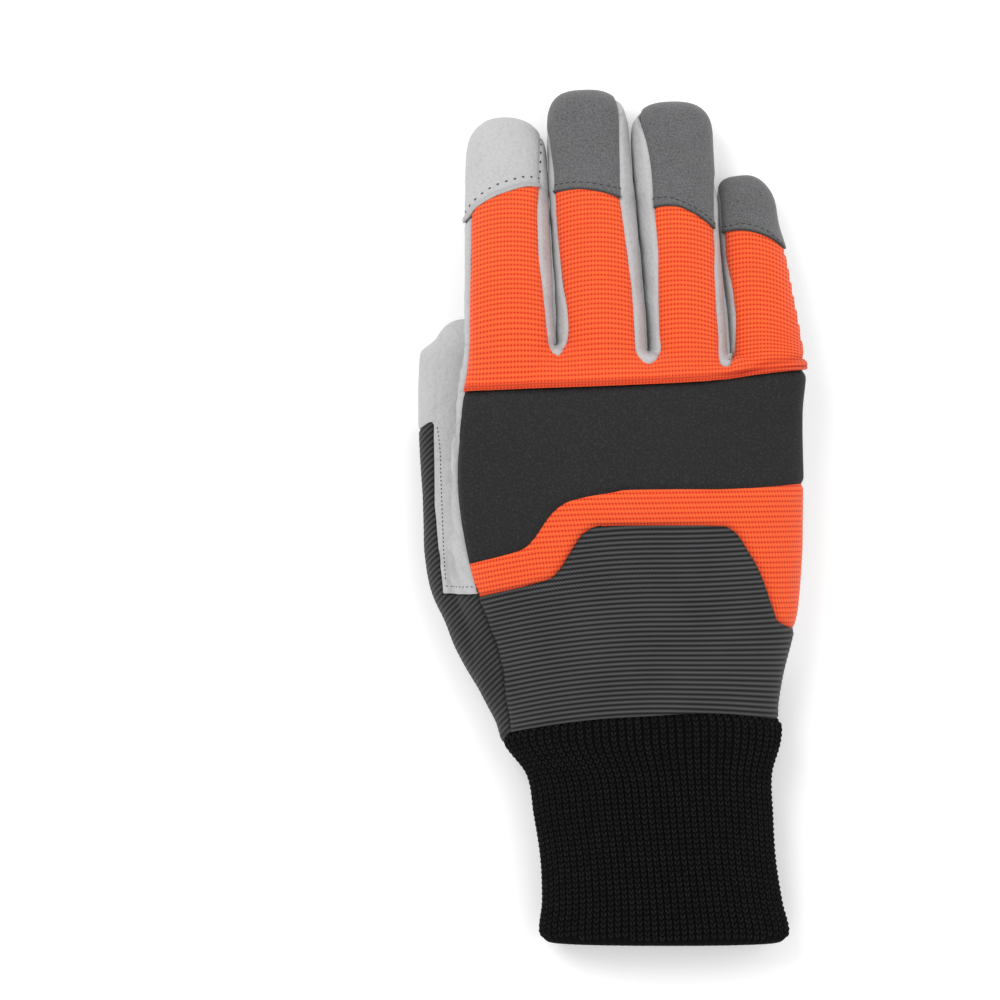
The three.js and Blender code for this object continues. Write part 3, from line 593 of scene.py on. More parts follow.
def tube_field(section_at, points, start, length):
    """Millimetres inside a tube's outer form, and beyond its root."""
    along = (points[:, 1] - start) / length
    centre, width, thick = section_at(np.clip(along, .03, 1))
    q = ((np.abs(points[:, 0] - centre[:, 0]) / (width / 2)) ** SECTION_POWER
         + (np.abs(points[:, 2] - centre[:, 2]) / (thick / 2)) ** SECTION_POWER) ** (1 / SECTION_POWER)
    return (1 - q) * np.minimum(width, thick) / 2


def back_fields(points):
    """How far inside the back's cut each point is, and inside each panel of it."""
    x, y, z = points.T
    above = z - middle_sheet(x, y)
    edge = np.vstack((on_plan(BACK_RIGHT), curved(on_plan(BACK_LEFT), 4)))
    edge[:, 1] = np.minimum(edge[:, 1], 50.0)
    field = line_distance(edge, x, y, True)
    upper = y > 34
    sx, sy = (v[upper] for v in seen(points))
    fingers = np.full(len(x), -50.0)
    edges = {n: curved(plan_px(FINGER_EDGE[n]), 3) for n in FINGER_NAMES}
    owner = owner_of(x, y)
    # Above the webs only a finger's own outline counts, so that it may run past its silhouette.
    own = np.where(sy > WEB_CLEAR, owner[upper], -1)
    inside = line_distance(np.vstack(list(edges.values())), sx, sy, True)
    for k, n in enumerate(FINGER_NAMES):
        inside[own == k] = line_distance(edges[n], sx[own == k], sy[own == k], True)
    fingers[upper] = inside
    below = np.minimum(above, np.maximum(field, fingers))
    caps = {}
    for k, n in enumerate(FINGER_NAMES):
        cap = np.full(len(x), -50.0)
        cap[upper] = np.where(owner[upper] == k, line_distance(cap_outline(n), sx, sy, True), -50.0)
        # The bright fabric runs on a little under the cap.
        below = np.minimum(below, CAP_LAP - cap)
        caps[n] = np.minimum(above, cap if n == "index" else np.minimum(cap, fingers))
    back = np.maximum.reduce([below] + list(caps.values()))
    top, bottom, band = (line_distance(beyond(curved(on_plan(line)), 1), x, y, True)
                         for line in (GUARD_TOP, GUARD_BOTTOM, BAND_BOTTOM))
    return {
        "above": above, "back": back, "caps": caps, "top": top, "bottom": bottom, "band": band,
        "knuckle_fabric": np.minimum(below, top),
        "guard_panel": np.minimum(below, np.minimum(-top, bottom)),
        "band_fabric": np.minimum(below, np.minimum(-bottom, band)),
        "wrist_panel": np.minimum(below, -band),
    }


def wrist_field(points):
    """How far above the seam with the cuff points lie."""
    return line_distance(beyond(curved(on_plan(WRIST_LINE)), 1), points[:, 0], points[:, 1], True)


def leather_fields(points, above):
    """The panels that are cut from the front and sides, in the order that they are cut."""
    x, y, z = points.T

    def plan(outline):
        return line_distance(on_plan(outline), x, y, True)
    fields = {}
    fields["thumb_gusset"] = np.maximum.reduce((
        np.minimum(plan(GUSSET_TOP), z - 14), np.minimum(plan(GUSSET_BOTTOM), 15 - z),
        np.minimum(plan(WRIST_BAND), -above)))
    fields["thumb_tip"] = plan(THUMB_TIP)
    fields["side_panel"] = np.minimum(plan(SIDE_PANEL), above + SIDE_DROP)
    for a, b in zip(FINGER_NAMES, FINGER_NAMES[1:]):
        sides = np.maximum(line_distance(side_strip(FINGERS[a], 1), x, y, True),
                           line_distance(side_strip(FINGERS[b], -1), x, y, True))
        fields["fourchette_%s_%s" % (a, b)] = np.minimum(sides, above + FOURCHETTE_DROP)
    for n, f in FINGERS.items():
        start = web_y(f["root_x"])
        inside = tube_field(lambda a, f=f: finger_section(f, a), points, start, f["length"])
        fields[n + "_front"] = np.minimum(inside + 1.6, y - start - 1)
    inside = tube_field(thumb_section, points, THUMB_ROOT_Y, THUMB_LENGTH)
    fields["thumb_front"] = np.minimum(inside + 1.2, y - THUMB_ROOT_Y - THUMB_LENGTH * .62)
    return fields


def cut(data, tris, field):
    """Keeps the part of a surface where a field is positive. data holds any columns per point."""
    field = np.where(np.abs(field) < .05, 0, field)
    inside = field >= 0
    count = inside[tris].sum(1)
    kept = [tris[count == 3]]
    new_points, offset = [], len(data)
    edges, ends = [], []
    for want in (1, 2):
        some = tris[count == want]
        flags = inside[some]
        odd = np.argmax(flags if want == 1 else ~flags, axis=1)
        some = np.take_along_axis(some, (odd[:, None] + np.arange(3)) % 3, 1)
        edges.append(some)
        ends.append((some[:, (0, 1)], some[:, (0, 2)]))
    pairs = np.vstack([e for two in ends for e in two]) if ends else np.empty((0, 2), int)
    if len(pairs):
        low, high = pairs.min(1), pairs.max(1)
        keys, back = np.unique(low * len(data) + high, return_inverse=True)
        a, b = keys // len(data), keys % len(data)
        t = field[a] / np.where(field[a] == field[b], 1, field[a] - field[b])
        new_points = data[a] + (data[b] - data[a]) * np.clip(t, 0, 1)[:, None]
        back = np.where(t <= 0, a, np.where(t >= 1, b, offset + np.arange(len(keys))))[back.ravel()]
        n1, n2 = len(edges[0]), len(edges[1])
        p, q, r, s = back[:n1], back[n1:2 * n1], back[2 * n1:2 * n1 + n2], back[2 * n1 + n2:]
        kept.append(np.column_stack((edges[0][:, 0], p, q)))
        two = edges[1]
        kept.append(np.column_stack((r, two[:, 1], two[:, 2])))
        kept.append(np.column_stack((r, two[:, 2], s)))
        data = np.vstack((data, new_points))
    tris = np.vstack(kept)
    # Points that a cut through a zero leaves on the same spot.
    good = (tris[:, 0] != tris[:, 1]) & (tris[:, 1] != tris[:, 2]) & (tris[:, 0] != tris[:, 2])
    used, tris = np.unique(tris[good], return_inverse=True)
    return data[used], tris.reshape(-1, 3)


def without_crumbs(data, tris, least=150):
    """Leaves out separate bits of fewer triangles than least, which a cut makes."""
    label = np.arange(len(data))
    for _ in range(400):
        before = label.copy()
        low = label[tris].min(1)
        for k in range(3):
            np.minimum.at(label, tris[:, k], low)
        label = label[label]
        if (label == before).all():
            break
    sizes = np.bincount(label[tris[:, 0]], minlength=len(data))
    keep = sizes[label[tris[:, 0]]] >= least
    used, tris = np.unique(tris[keep], return_inverse=True)
    return data[used], tris.reshape(-1, 3)


# Making pieces

def rim_edges(tris, count):
    """The edges that only one triangle has; count is the number of points."""
    pairs = np.vstack((tris[:, (0, 1)], tris[:, (1, 2)], tris[:, (2, 0)]))
    keys = pairs.min(1) * count + pairs.max(1)
    _, first, counts = np.unique(keys, return_index=True, return_counts=True)
    return pairs[first[counts == 1]]


def lifted(points, tris, lift):
    """Points moved along their normals."""
    return points + point_normals(points, tris) * lift[:, None]


def shell(points, tris, thickness, extra):
    """A closed wall: the outer surface, the same moved inwards, and the edge between them."""
    n = len(points)
    inner = points - point_normals(points, tris) * thickness
    rim = rim_edges(tris, n)
    faces = np.vstack((tris, tris[:, ::-1] + n,
                       np.column_stack((rim[:, 1], rim[:, 0], rim[:, 0] + n)),
                       np.column_stack((rim[:, 1], rim[:, 0] + n, rim[:, 1] + n))))
    return np.vstack((points, inner)), faces, {k: np.concatenate((v, v)) for k, v in extra.items()}


def make_piece(name, points, tris, extra, material):
    """A mesh object in metres, at the origin, with the values of extra kept on its points."""
    points = np.column_stack((points[:, :2], np.maximum(points[:, 2], FLOOR_GAP)))
    mesh = bpy.data.meshes.new(name)
    mesh.vertices.add(len(points))
    mesh.vertices.foreach_set("co", ((points + SHIFT) / 1000).ravel())
    mesh.loops.add(len(tris) * 3)
    mesh.loops.foreach_set("vertex_index", tris.ravel().astype(np.int32))
    mesh.polygons.add(len(tris))
    mesh.polygons.foreach_set("loop_start", np.arange(0, len(tris) * 3, 3, dtype=np.int32))
    mesh.polygons.foreach_set("use_smooth", np.ones(len(tris), bool))
    mesh.update(calc_edges=True)
    mesh.set_sharp_from_angle(angle=RIM_ANGLE)
    for key, values in extra.items():
        mesh.attributes.new(key, "FLOAT", "POINT").data.foreach_set("value", values.astype(np.float32))
    mesh.materials.append(material)
    obj = bpy.data.objects.new(name, mesh)
    bpy.context.scene.collection.objects.link(obj)
    return obj


def walled(name, points, tris, values, finish, sizes):
    """A piece with a wall as thick as the fabric or leather."""
    outer, faces, values = shell(points, tris, sizes.fabric_thickness * 1000, values)
    return make_piece(name, outer, faces, values, finish)


def with_nodes(obj, tree, **values):
    """Runs a geometry tree on an object once and keeps its plain mesh."""
    modifier = obj.modifiers.new(tree.name, "NODES")
    modifier.node_group = tree
    for item in tree.interface.items_tree:
        if item.item_type == "SOCKET" and item.in_out == "INPUT" and item.name in values:
            modifier[item.identifier] = values[item.name]
    mesh = evaluated(obj)
    obj.modifiers.remove(modifier)
    old = obj.data
    obj.data = mesh
    mesh.name = old.name
    bpy.data.meshes.remove(old)
    return obj


def node(tree, kind, inputs=(), **settings):
    """Adds a node with its settings; an input is a value, another node or one of its outputs."""
    made = tree.nodes.new(kind)
    for key, value in settings.items():
        setattr(made, key, value)
    for key, value in inputs.items() if isinstance(inputs, dict) else enumerate(inputs):
        socket = made.inputs[key]
        if isinstance(value, bpy.types.Node):
            value = value.outputs[0]
        if isinstance(value, bpy.types.NodeSocket):
            tree.links.new(value, socket)
        else:
            socket.default_value = value
    return made


MATH, MIX, NOISE = "ShaderNodeMath", "ShaderNodeMix", "ShaderNodeTexNoise"


def new_tree(name, **inputs):
    """A geometry tree with named inputs and one output, and its input node."""
    tree = bpy.data.node_groups.new(name, "GeometryNodeTree")
    for key, kind in inputs.items():
        tree.interface.new_socket(key, in_out="INPUT", socket_type="NodeSocket" + kind)
    tree.interface.new_socket("Geometry", in_out="OUTPUT", socket_type="NodeSocketGeometry")
    return tree, node(tree, "NodeGroupInput")


def end_tree(tree, geometry, material):
    """Ends a geometry tree: its copies made real, smooth and dressed in a material."""
    real = node(tree, "GeometryNodeRealizeInstances", {"Geometry": geometry})
    soft = node(tree, "GeometryNodeSetShadeSmooth", [real])
    dressed = node(tree, "GeometryNodeSetMaterial", {"Geometry": soft, "Material": material})
    node(tree, "NodeGroupOutput", [dressed])
    return tree


def rib_relief_tree():
    """Raises ribs along the lines that a piece's rib value counts in millimetres."""
    tree, start = new_tree("Rib relief", Geometry="Geometry", Pitch="Float", Depth="Float",
                           Fabric="Material")
    rib = node(tree, "GeometryNodeInputNamedAttribute", {"Name": "rib"}, data_type="FLOAT")
    flat = node(tree, "GeometryNodeInputNamedAttribute", {"Name": "flat"}, data_type="FLOAT")
    ribs = node(tree, MATH, [rib, start.outputs["Pitch"]], operation="DIVIDE")
    phase = node(tree, MATH, [ribs, math.pi], operation="MULTIPLY")
    wave = node(tree, MATH, [node(tree, MATH, [phase], operation="SINE")], operation="ABSOLUTE")
    crest = node(tree, MATH, [wave, .6], operation="POWER")
    raised = node(tree, MATH, [crest, .7], operation="SUBTRACT")
    kept = node(tree, MATH, [raised, flat], operation="MULTIPLY")
    height = node(tree, MATH, [kept, start.outputs["Depth"]], operation="MULTIPLY")
    normal = node(tree, "GeometryNodeInputNormal")
    offset = node(tree, "ShaderNodeVectorMath", {0: normal, "Scale": height}, operation="SCALE")
    moved = node(tree, "GeometryNodeSetPosition", {"Geometry": start.outputs["Geometry"], "Offset": offset})
    return end_tree(tree, moved, start.outputs["Fabric"])


def stitch_tree():
    """Lays a short thread, or a dark mark of painted shade where the needle went through, at even steps along
    sewn lines.
    """
    tree, start = new_tree("Stitches", Geometry="Geometry", Step="Float", Length="Float", Width="Float",
                           Height="Float", Thread="Material")
    curve = node(tree, "GeometryNodeMeshToCurve", {"Mesh": start.outputs["Geometry"]})
    even = node(tree, "GeometryNodeResampleCurve", {"Curve": curve, "Length": start.outputs["Step"]},
                mode="LENGTH")
    up = node(tree, "GeometryNodeInputNamedAttribute", {"Name": "up"}, data_type="FLOAT_VECTOR")
    tangent = node(tree, "GeometryNodeInputTangent")
    turn = node(tree, "FunctionNodeAxesToRotation", {"Primary Axis": up, "Secondary Axis": tangent},
                primary_axis="Z", secondary_axis="X")
    size = node(tree, "ShaderNodeCombineXYZ", {"X": start.outputs["Length"], "Y": start.outputs["Width"],
                                               "Z": start.outputs["Height"]})
    ball = node(tree, "GeometryNodeMeshUVSphere", {"Segments": 7, "Rings": 5, "Radius": .5})
    placed = node(tree, "GeometryNodeInstanceOnPoints", {"Points": even, "Instance": ball, "Rotation": turn,
                                                         "Scale": size})
    return end_tree(tree, placed, start.outputs["Thread"])


def knit_tree():
    """Sets a knitted loop, two leaning lobes, on every point of a cuff."""
    tree, start = new_tree("Knit loops", Geometry="Geometry", Width="Float", Height="Float",
                           Yarn="Material")
    loop = node(tree, "GeometryNodeJoinGeometry")
    for side in (-1, 1):
        ball = node(tree, "GeometryNodeMeshIcoSphere", {"Radius": .5, "Subdivisions": 1})
        lobe = node(tree, "GeometryNodeTransform", {
            "Geometry": ball, "Translation": (side * .26, 0, 0),
            "Rotation": (0, 0, -side * math.radians(24)), "Scale": (.44, 1.2, .7)})
        tree.links.new(lobe.outputs[0], loop.inputs[0])
    up = node(tree, "GeometryNodeInputNamedAttribute", {"Name": "up"}, data_type="FLOAT_VECTOR")
    way = node(tree, "GeometryNodeInputNamedAttribute", {"Name": "way"}, data_type="FLOAT_VECTOR")
    turn = node(tree, "FunctionNodeAxesToRotation", {"Primary Axis": up, "Secondary Axis": way},
                primary_axis="Z", secondary_axis="Y")
    size = node(tree, "ShaderNodeCombineXYZ", {"X": start.outputs["Width"], "Y": start.outputs["Height"],
                                               "Z": start.outputs["Width"]})
    placed = node(tree, "GeometryNodeInstanceOnPoints", {
        "Points": start.outputs["Geometry"], "Instance": loop, "Rotation": turn, "Scale": size})
    return end_tree(tree, placed, start.outputs["Yarn"])


# Finishes

def new_finish(name):
    """An empty material, its tree and the place that its patterns follow."""
    material = bpy.data.materials.new(name)
    material.use_nodes = True
    tree = material.node_tree
    tree.nodes.clear()
    return material, tree, node(tree, "ShaderNodeTexCoord").outputs["Object"]


def finished(material, colour, height, strength, distance, looks):
    """Ends a material with its colour, its relief and how it reflects light."""
    tree = material.node_tree
    inputs = {"Base Color": colour, **looks}
    if height is not None:
        inputs["Normal"] = node(tree, "ShaderNodeBump", {"Height": height, "Strength": strength,
                                                         "Distance": distance})
    node(tree, "ShaderNodeOutputMaterial", [node(tree, "ShaderNodeBsdfPrincipled", inputs)])
    return material


def goat_leather(colours):
    """Goat nappa, drum dyed and softly finished: a grain of about a millimetre, with a faint gloss."""
    material, tree, place = new_finish("goat_leather_nappa")
    warp = node(tree, NOISE, {"Vector": place, "Scale": 500.0, "Detail": 2.0}).outputs["Color"]
    bent = node(tree, "ShaderNodeVectorMath", {0: warp, "Scale": .0012}, operation="SCALE")
    where = node(tree, "ShaderNodeVectorMath", [place, bent], operation="ADD")
    grain = node(tree, "ShaderNodeTexVoronoi", {"Vector": where, "Scale": 1050.0}, feature="SMOOTH_F1")
    pores = node(tree, NOISE, {"Vector": place, "Scale": 2600.0, "Detail": 3.0})
    folds = node(tree, NOISE, {"Vector": place, "Scale": 190.0, "Detail": 3.0})
    clouds = node(tree, NOISE, {"Vector": place, "Scale": 38.0, "Detail": 3.0})
    dark = node(tree, "ShaderNodeAttribute", attribute_name="shade").outputs["Fac"]
    grains = node(tree, MATH, [grain, -.8], operation="MULTIPLY")
    fine = node(tree, MATH, [pores, .35], operation="MULTIPLY")
    coarse = node(tree, MATH, [folds, .9, fine], operation="MULTIPLY_ADD")
    height = node(tree, MATH, [grains, coarse], operation="ADD")
    base = node(tree, MIX, {0: clouds, 6: colours.leather_shade, 7: colours.leather}, data_type="RGBA").outputs[2]
    hollows = node(tree, MATH, [grain, 2.0], operation="POWER")
    spots = node(tree, MATH, [hollows, .45], operation="MULTIPLY")
    colour = node(tree, MIX, {0: spots, 6: base, 7: colours.leather_pore}, data_type="RGBA").outputs[2]
    # The shade attribute mixes in painted shade at creases, wrinkles, puckers, hems, seams and quilting lines.
    painted_crease_shade = node(tree, MATH, [dark, .75], operation="MULTIPLY")
    colour = node(tree, MIX, {0: painted_crease_shade, 6: colour, 7: colours.leather_painted_shade}, data_type="RGBA").outputs[2]
    return finished(material, colour, height, .8, .00025, {"Roughness": .56, "Specular IOR Level": .35})


def rib_fabric(name, crest, groove_shade, deep, pitch, dot, slant, hollow, dots, rough, sheen):
    """Polyester rib knit: rounded ridges with a row of loops between them, matt and slightly fuzzy; the grooves
    and the gaps between the loops get painted shade.
    """
    material, tree, place = new_finish(name)
    across = node(tree, "ShaderNodeAttribute", attribute_name="rib").outputs["Fac"]
    along = node(tree, "ShaderNodeAttribute", attribute_name="run").outputs["Fac"]
    dark = node(tree, "ShaderNodeAttribute", attribute_name="shade").outputs["Fac"]
    ribs = node(tree, MATH, [across, math.pi / pitch], operation="MULTIPLY")
    phase = node(tree, MATH, [node(tree, MATH, [ribs], operation="SINE")], operation="ABSOLUTE")
    low = node(tree, MATH, [1.0, phase], operation="SUBTRACT")
    valley = node(tree, MATH, [low, hollow], operation="POWER")
    slanted = node(tree, MATH, [across, slant, along], operation="MULTIPLY_ADD")
    turns = node(tree, MATH, [slanted, math.pi / dot], operation="MULTIPLY")
    loops = node(tree, MATH, [node(tree, MATH, [turns], operation="SINE")], operation="ABSOLUTE")
    gap = node(tree, MATH, [1.0, loops], operation="SUBTRACT")
    fibre = node(tree, NOISE, {"Vector": place, "Scale": 2400.0, "Detail": 3.0})
    tone = node(tree, NOISE, {"Vector": place, "Scale": 55.0, "Detail": 2.0})
    # The grooves between the ribs get painted shade, with random tone from the noise.
    uneven = node(tree, MATH, [tone, .25, valley], operation="MULTIPLY_ADD")
    base = node(tree, MIX, {0: uneven, 6: crest, 7: groove_shade}, data_type="RGBA").outputs[2]
    # The gaps between the loops along the grooves get painted shade.
    between = node(tree, MATH, [valley, .9, dots], operation="MULTIPLY_ADD")
    holes = node(tree, MATH, [gap, between], operation="MULTIPLY")
    base = node(tree, MIX, {0: holes, 6: base, 7: deep}, data_type="RGBA").outputs[2]
    # The shade attribute adds painted shadow at hems, folds and seams.
    colour = node(tree, MIX, {0: dark, 6: base, 7: deep}, data_type="RGBA").outputs[2]
    ridges = node(tree, MATH, [phase, .75], operation="MULTIPLY")
    knots = node(tree, MATH, [loops, .3, ridges], operation="MULTIPLY_ADD")
    height = node(tree, MATH, [fibre, .3, knots], operation="MULTIPLY_ADD")
    return finished(material, colour, height, .6, .0003, {
        "Roughness": rough, "Specular IOR Level": .25, "Sheen Weight": sheen, "Sheen Roughness": .5})


def guard_fabric(colours):
    """Close woven nylon over foam: a fine even weave, nearly smooth, with a soft grey bloom."""
    material, tree, place = new_finish("woven_nylon_guard")
    turned = node(tree, "ShaderNodeMapping", {"Vector": place, "Rotation": (0, 0, math.radians(38))})
    twill = node(tree, "ShaderNodeTexWave", {"Vector": turned, "Scale": 520.0, "Distortion": 1.0,
                                             "Detail": 1.0, "Detail Scale": 3.0}).outputs["Fac"]
    fibre = node(tree, NOISE, {"Vector": place, "Scale": 1500.0, "Detail": 3.0})
    tone = node(tree, NOISE, {"Vector": place, "Scale": 40.0, "Detail": 3.0})
    weave = node(tree, MATH, [twill, .45], operation="MULTIPLY")
    colour = node(tree, MIX, {0: weave, 6: colours.guard, 7: colours.guard_light}, data_type="RGBA").outputs[2]
    bloom = node(tree, MATH, [tone, .3], operation="MULTIPLY")
    colour = node(tree, MIX, {0: bloom, 6: colour, 7: colours.guard_light}, data_type="RGBA").outputs[2]
    loose = node(tree, MATH, [fibre, .48], operation="SUBTRACT")
    lint = node(tree, MATH, [loose, 3.5], operation="MULTIPLY")
    colour = node(tree, MIX, {0: lint, 6: colour, 7: colours.guard_lint}, data_type="RGBA").outputs[2]
    height = node(tree, MATH, [twill, .4, fibre], operation="MULTIPLY_ADD")
    return finished(material, colour, height, .3, .00012, {"Roughness": .7, "Specular IOR Level": .22})


def synthetic_suede(colours):
    """Brushed microfibre suede: a short nap that scatters light in fine pale and dark flecks."""
    material, tree, place = new_finish("microfibre_suede")
    nap = node(tree, NOISE, {"Vector": place, "Scale": 1900.0, "Detail": 4.0, "Roughness": .7})
    brush = node(tree, NOISE, {"Vector": place, "Scale": 120.0, "Detail": 3.0})
    dark = node(tree, "ShaderNodeAttribute", attribute_name="shade").outputs["Fac"]
    even = node(tree, MATH, [nap, .5], operation="SUBTRACT")
    flecks = node(tree, MATH, [even, 3.2, .5], operation="MULTIPLY_ADD")
    colour = node(tree, MIX, {0: flecks, 6: colours.suede_dark, 7: colours.suede}, data_type="RGBA").outputs[2]
    brushed = node(tree, MATH, [brush, .35], operation="MULTIPLY")
    colour = node(tree, MIX, {0: brushed, 6: colour, 7: colours.suede_light}, data_type="RGBA").outputs[2]
    # The shade attribute mixes in the guard's colour as painted shadow along the cap's lower edge.
    colour = node(tree, MIX, {0: dark, 6: colour, 7: colours.guard}, data_type="RGBA").outputs[2]
    return finished(material, colour, nap, .55, .0002, {"Roughness": .9, "Specular IOR Level": .15,
                                                        "Sheen Weight": .25})


def knit_yarn(name, colour, light):
    """Spun acrylic yarn: matt black with loose fibres that catch a little light."""
    material, tree, place = new_finish(name)
    fibre = node(tree, NOISE, {"Vector": place, "Scale": 2200.0, "Detail": 4.0, "Roughness": .75})
    tufts = node(tree, NOISE, {"Vector": place, "Scale": 420.0, "Detail": 2.0})
    bright = node(tree, MATH, [fibre, 4.0], operation="POWER")
    tufted = node(tree, MATH, [tufts, 1.5], operation="MULTIPLY")
    flecks = node(tree, MATH, [bright, tufted], operation="MULTIPLY")
    spun = node(tree, MIX, {0: flecks, 6: colour, 7: light}, data_type="RGBA").outputs[2]
    return finished(material, spun, fibre, .6, .00025, {"Roughness": .92, "Specular IOR Level": .12})


def sewing_thread(name, colour, rough):
    """Bonded polyester thread, twisted from fine strands: a tight, slightly glossy cord."""
    material, tree, place = new_finish(name)
    strand = node(tree, NOISE, {"Vector": place, "Scale": 5000.0, "Detail": 2.0})
    twist = node(tree, MATH, [strand, .5], operation="MULTIPLY")
    dull = tuple(c * .6 for c in colour[:3]) + (1,)
    twisted = node(tree, MIX, {0: twist, 6: colour, 7: dull}, data_type="RGBA").outputs[2]
    return finished(material, twisted, None, 0, 0, {"Roughness": rough})


# Panels

def lines_grid(columns, rows, place):
    """A grid of points and its triangles, facing up when columns run right and rows run on."""
    c, r = len(columns), len(rows)
    u, v = np.meshgrid(columns, rows)
    data = place(u.ravel(), v.ravel())
    i, j = np.meshgrid(np.arange(c - 1), np.arange(r - 1))
    a = (j * c + i).ravel()
    return data, np.vstack((np.column_stack((a, a + 1, a + c + 1)), np.column_stack((a, a + c + 1, a + c))))


def cast(points, directions, back=0.0):
    """Where lines through points, begun a way back from them, first meet the skin."""
    tree = work["tree"]
    found = np.full((len(points), 3), MISSED)
    for k, (p, d) in enumerate(zip(points.tolist(), directions.tolist())):
        way = Vector(d)
        hit = tree.ray_cast(Vector(p) - way * back, way)[0]
        if hit is not None:
            found[k] = hit
    return found


def cast_upright(x, y, start, way):
    """Where upright lines at places on the plan, begun at a height, meet the skin."""
    return cast(np.column_stack((x, y, np.full(len(x), start))), np.tile((0.0, 0.0, way), (len(x), 1)))


def settled(points, tris, keep):
    """Drops the triangles whose points missed the skin or are stretched over a gap."""
    a, b, c = points[tris[:, 0]], points[tris[:, 1]], points[tris[:, 2]]
    longest = np.maximum.reduce([np.linalg.norm(p - q, axis=1) for p, q in ((a, b), (b, c), (c, a))])
    low = np.minimum.reduce((a[:, 2], b[:, 2], c[:, 2]))
    return tris[(low > -50) & (longest < keep)]


def tucked(field, amount=.6, width=1.0):
    """How far a panel's edge turns in at its seams."""
    return -amount * np.exp(-(np.maximum(field, 0) / width) ** 1.6)


def knuckle_bend(x, v):
    """How far a rib of the knuckle fabric bends: along the guard below, arched over each finger above."""
    line = curved(on_plan(GUARD_TOP))
    level = np.interp(x, line[:, 0], line[:, 1])
    guard = level - line[:, 1].mean()
    t = eased(np.clip((v - (web_y(x) - 10)) / 26, 0, 1))
    best = np.full(len(x), 1e9)
    arch = np.zeros(len(x))
    for n, f in FINGERS.items():
        centre, width, _ = finger_section(f, np.clip((v - web_y(f["root_x"])) / f["length"], 0, 1))
        d = (x - centre[:, 0]) / (width / 2)
        nearer = np.abs(d) < best
        arch = np.where(nearer, -2.7 * np.minimum(d * d, 1.3) + RIB_LEAN[n] * np.clip(d, -1.1, 1.1), arch)
        best = np.where(nearer, np.abs(d), best)
    return guard * (1 - t) + arch * t


def make_knuckle_fabric(sizes, finish, relief):
    """The bright fabric over the knuckles and fingers, with its turned hem on the guard."""
    pitch = sizes.rib_pitch * 1000
    columns = np.arange(-53.0, 68.0, .85)
    rows = np.arange(36.0, 126.0, pitch / ROWS_A_RIB)

    def place(u, v):
        return np.column_stack((cast_upright(u, v + knuckle_bend(u, v), 80.0, -1.0), v, u))
    data, tris = lines_grid(columns, rows, place)
    tris = settled(data[:, :3], tris, 4.0)
    fields = back_fields(data[:, :3])
    data = np.column_stack((data, fields["knuckle_fabric"], fields["top"]))
    data, tris = cut(data, tris, data[:, 5])
    data, tris = without_crumbs(data, tris, 400)
    points, (rib, run, field, top) = data[:, :3], data[:, 3:7].T
    over = np.maximum(top, 0)
    sides = np.where(top < field + .3, 9.0, field)
    fold = line_distance(np.array(KNUCKLE_FOLD), points[:, 0], points[:, 1])
    lift = .25 + 1.0 * fades(over, 5.5) - .9 * fades(over, .5)
    lift += -.42 * fades(top - 1.35, .38)
    lift += tucked(sides, .75, .9)
    lift += -.9 * fades(fold, 1.5) * np.clip((points[:, 0] - 33) / 8, 0, 1)
    lift += .22 * value_noise(points, 13.0, 3)
    # Painted shade in the groove above the hem's fold and along the hem's edge, and in the fold over the little
    # finger's knuckle.
    shade = .75 * fades(top - 1.35, .42) + .4 * fades(over, .45)
    shade += .35 * fades(fold, 1.1) * np.clip((points[:, 0] - 36) / 8, 0, 1)
    flat = np.clip(np.minimum(top - .6, 1.2) / 1.2, .15, 1)
    points = lifted(points, tris, lift)
    return rib_panel("knuckle_fabric", points, tris, rib, run, flat, shade, finish, relief, pitch, sizes)


def rib_panel(name, points, tris, rib, run, flat, shade, finish, relief, pitch, sizes):
    """A walled panel whose ribs stand up; rib and run count millimetres across and along them."""
    extra = {"rib": rib, "run": run, "flat": flat, "shade": np.clip(shade, 0, 1)}
    obj = make_piece(name, points, tris, extra, finish)
    with_nodes(obj, relief, Pitch=pitch, Depth=sizes.rib_depth, Fabric=finish)
    outer, faces = mesh_arrays(obj.data)
    values = {}
    for key in ("rib", "run", "shade"):
        got = np.empty(len(outer), np.float32)
        obj.data.attributes[key].data.foreach_get("value", got)
        values[key] = got.astype(float)
    bpy.data.objects.remove(obj)
    return walled(name, outer * 1000 - SHIFT, faces, values, finish, sizes)


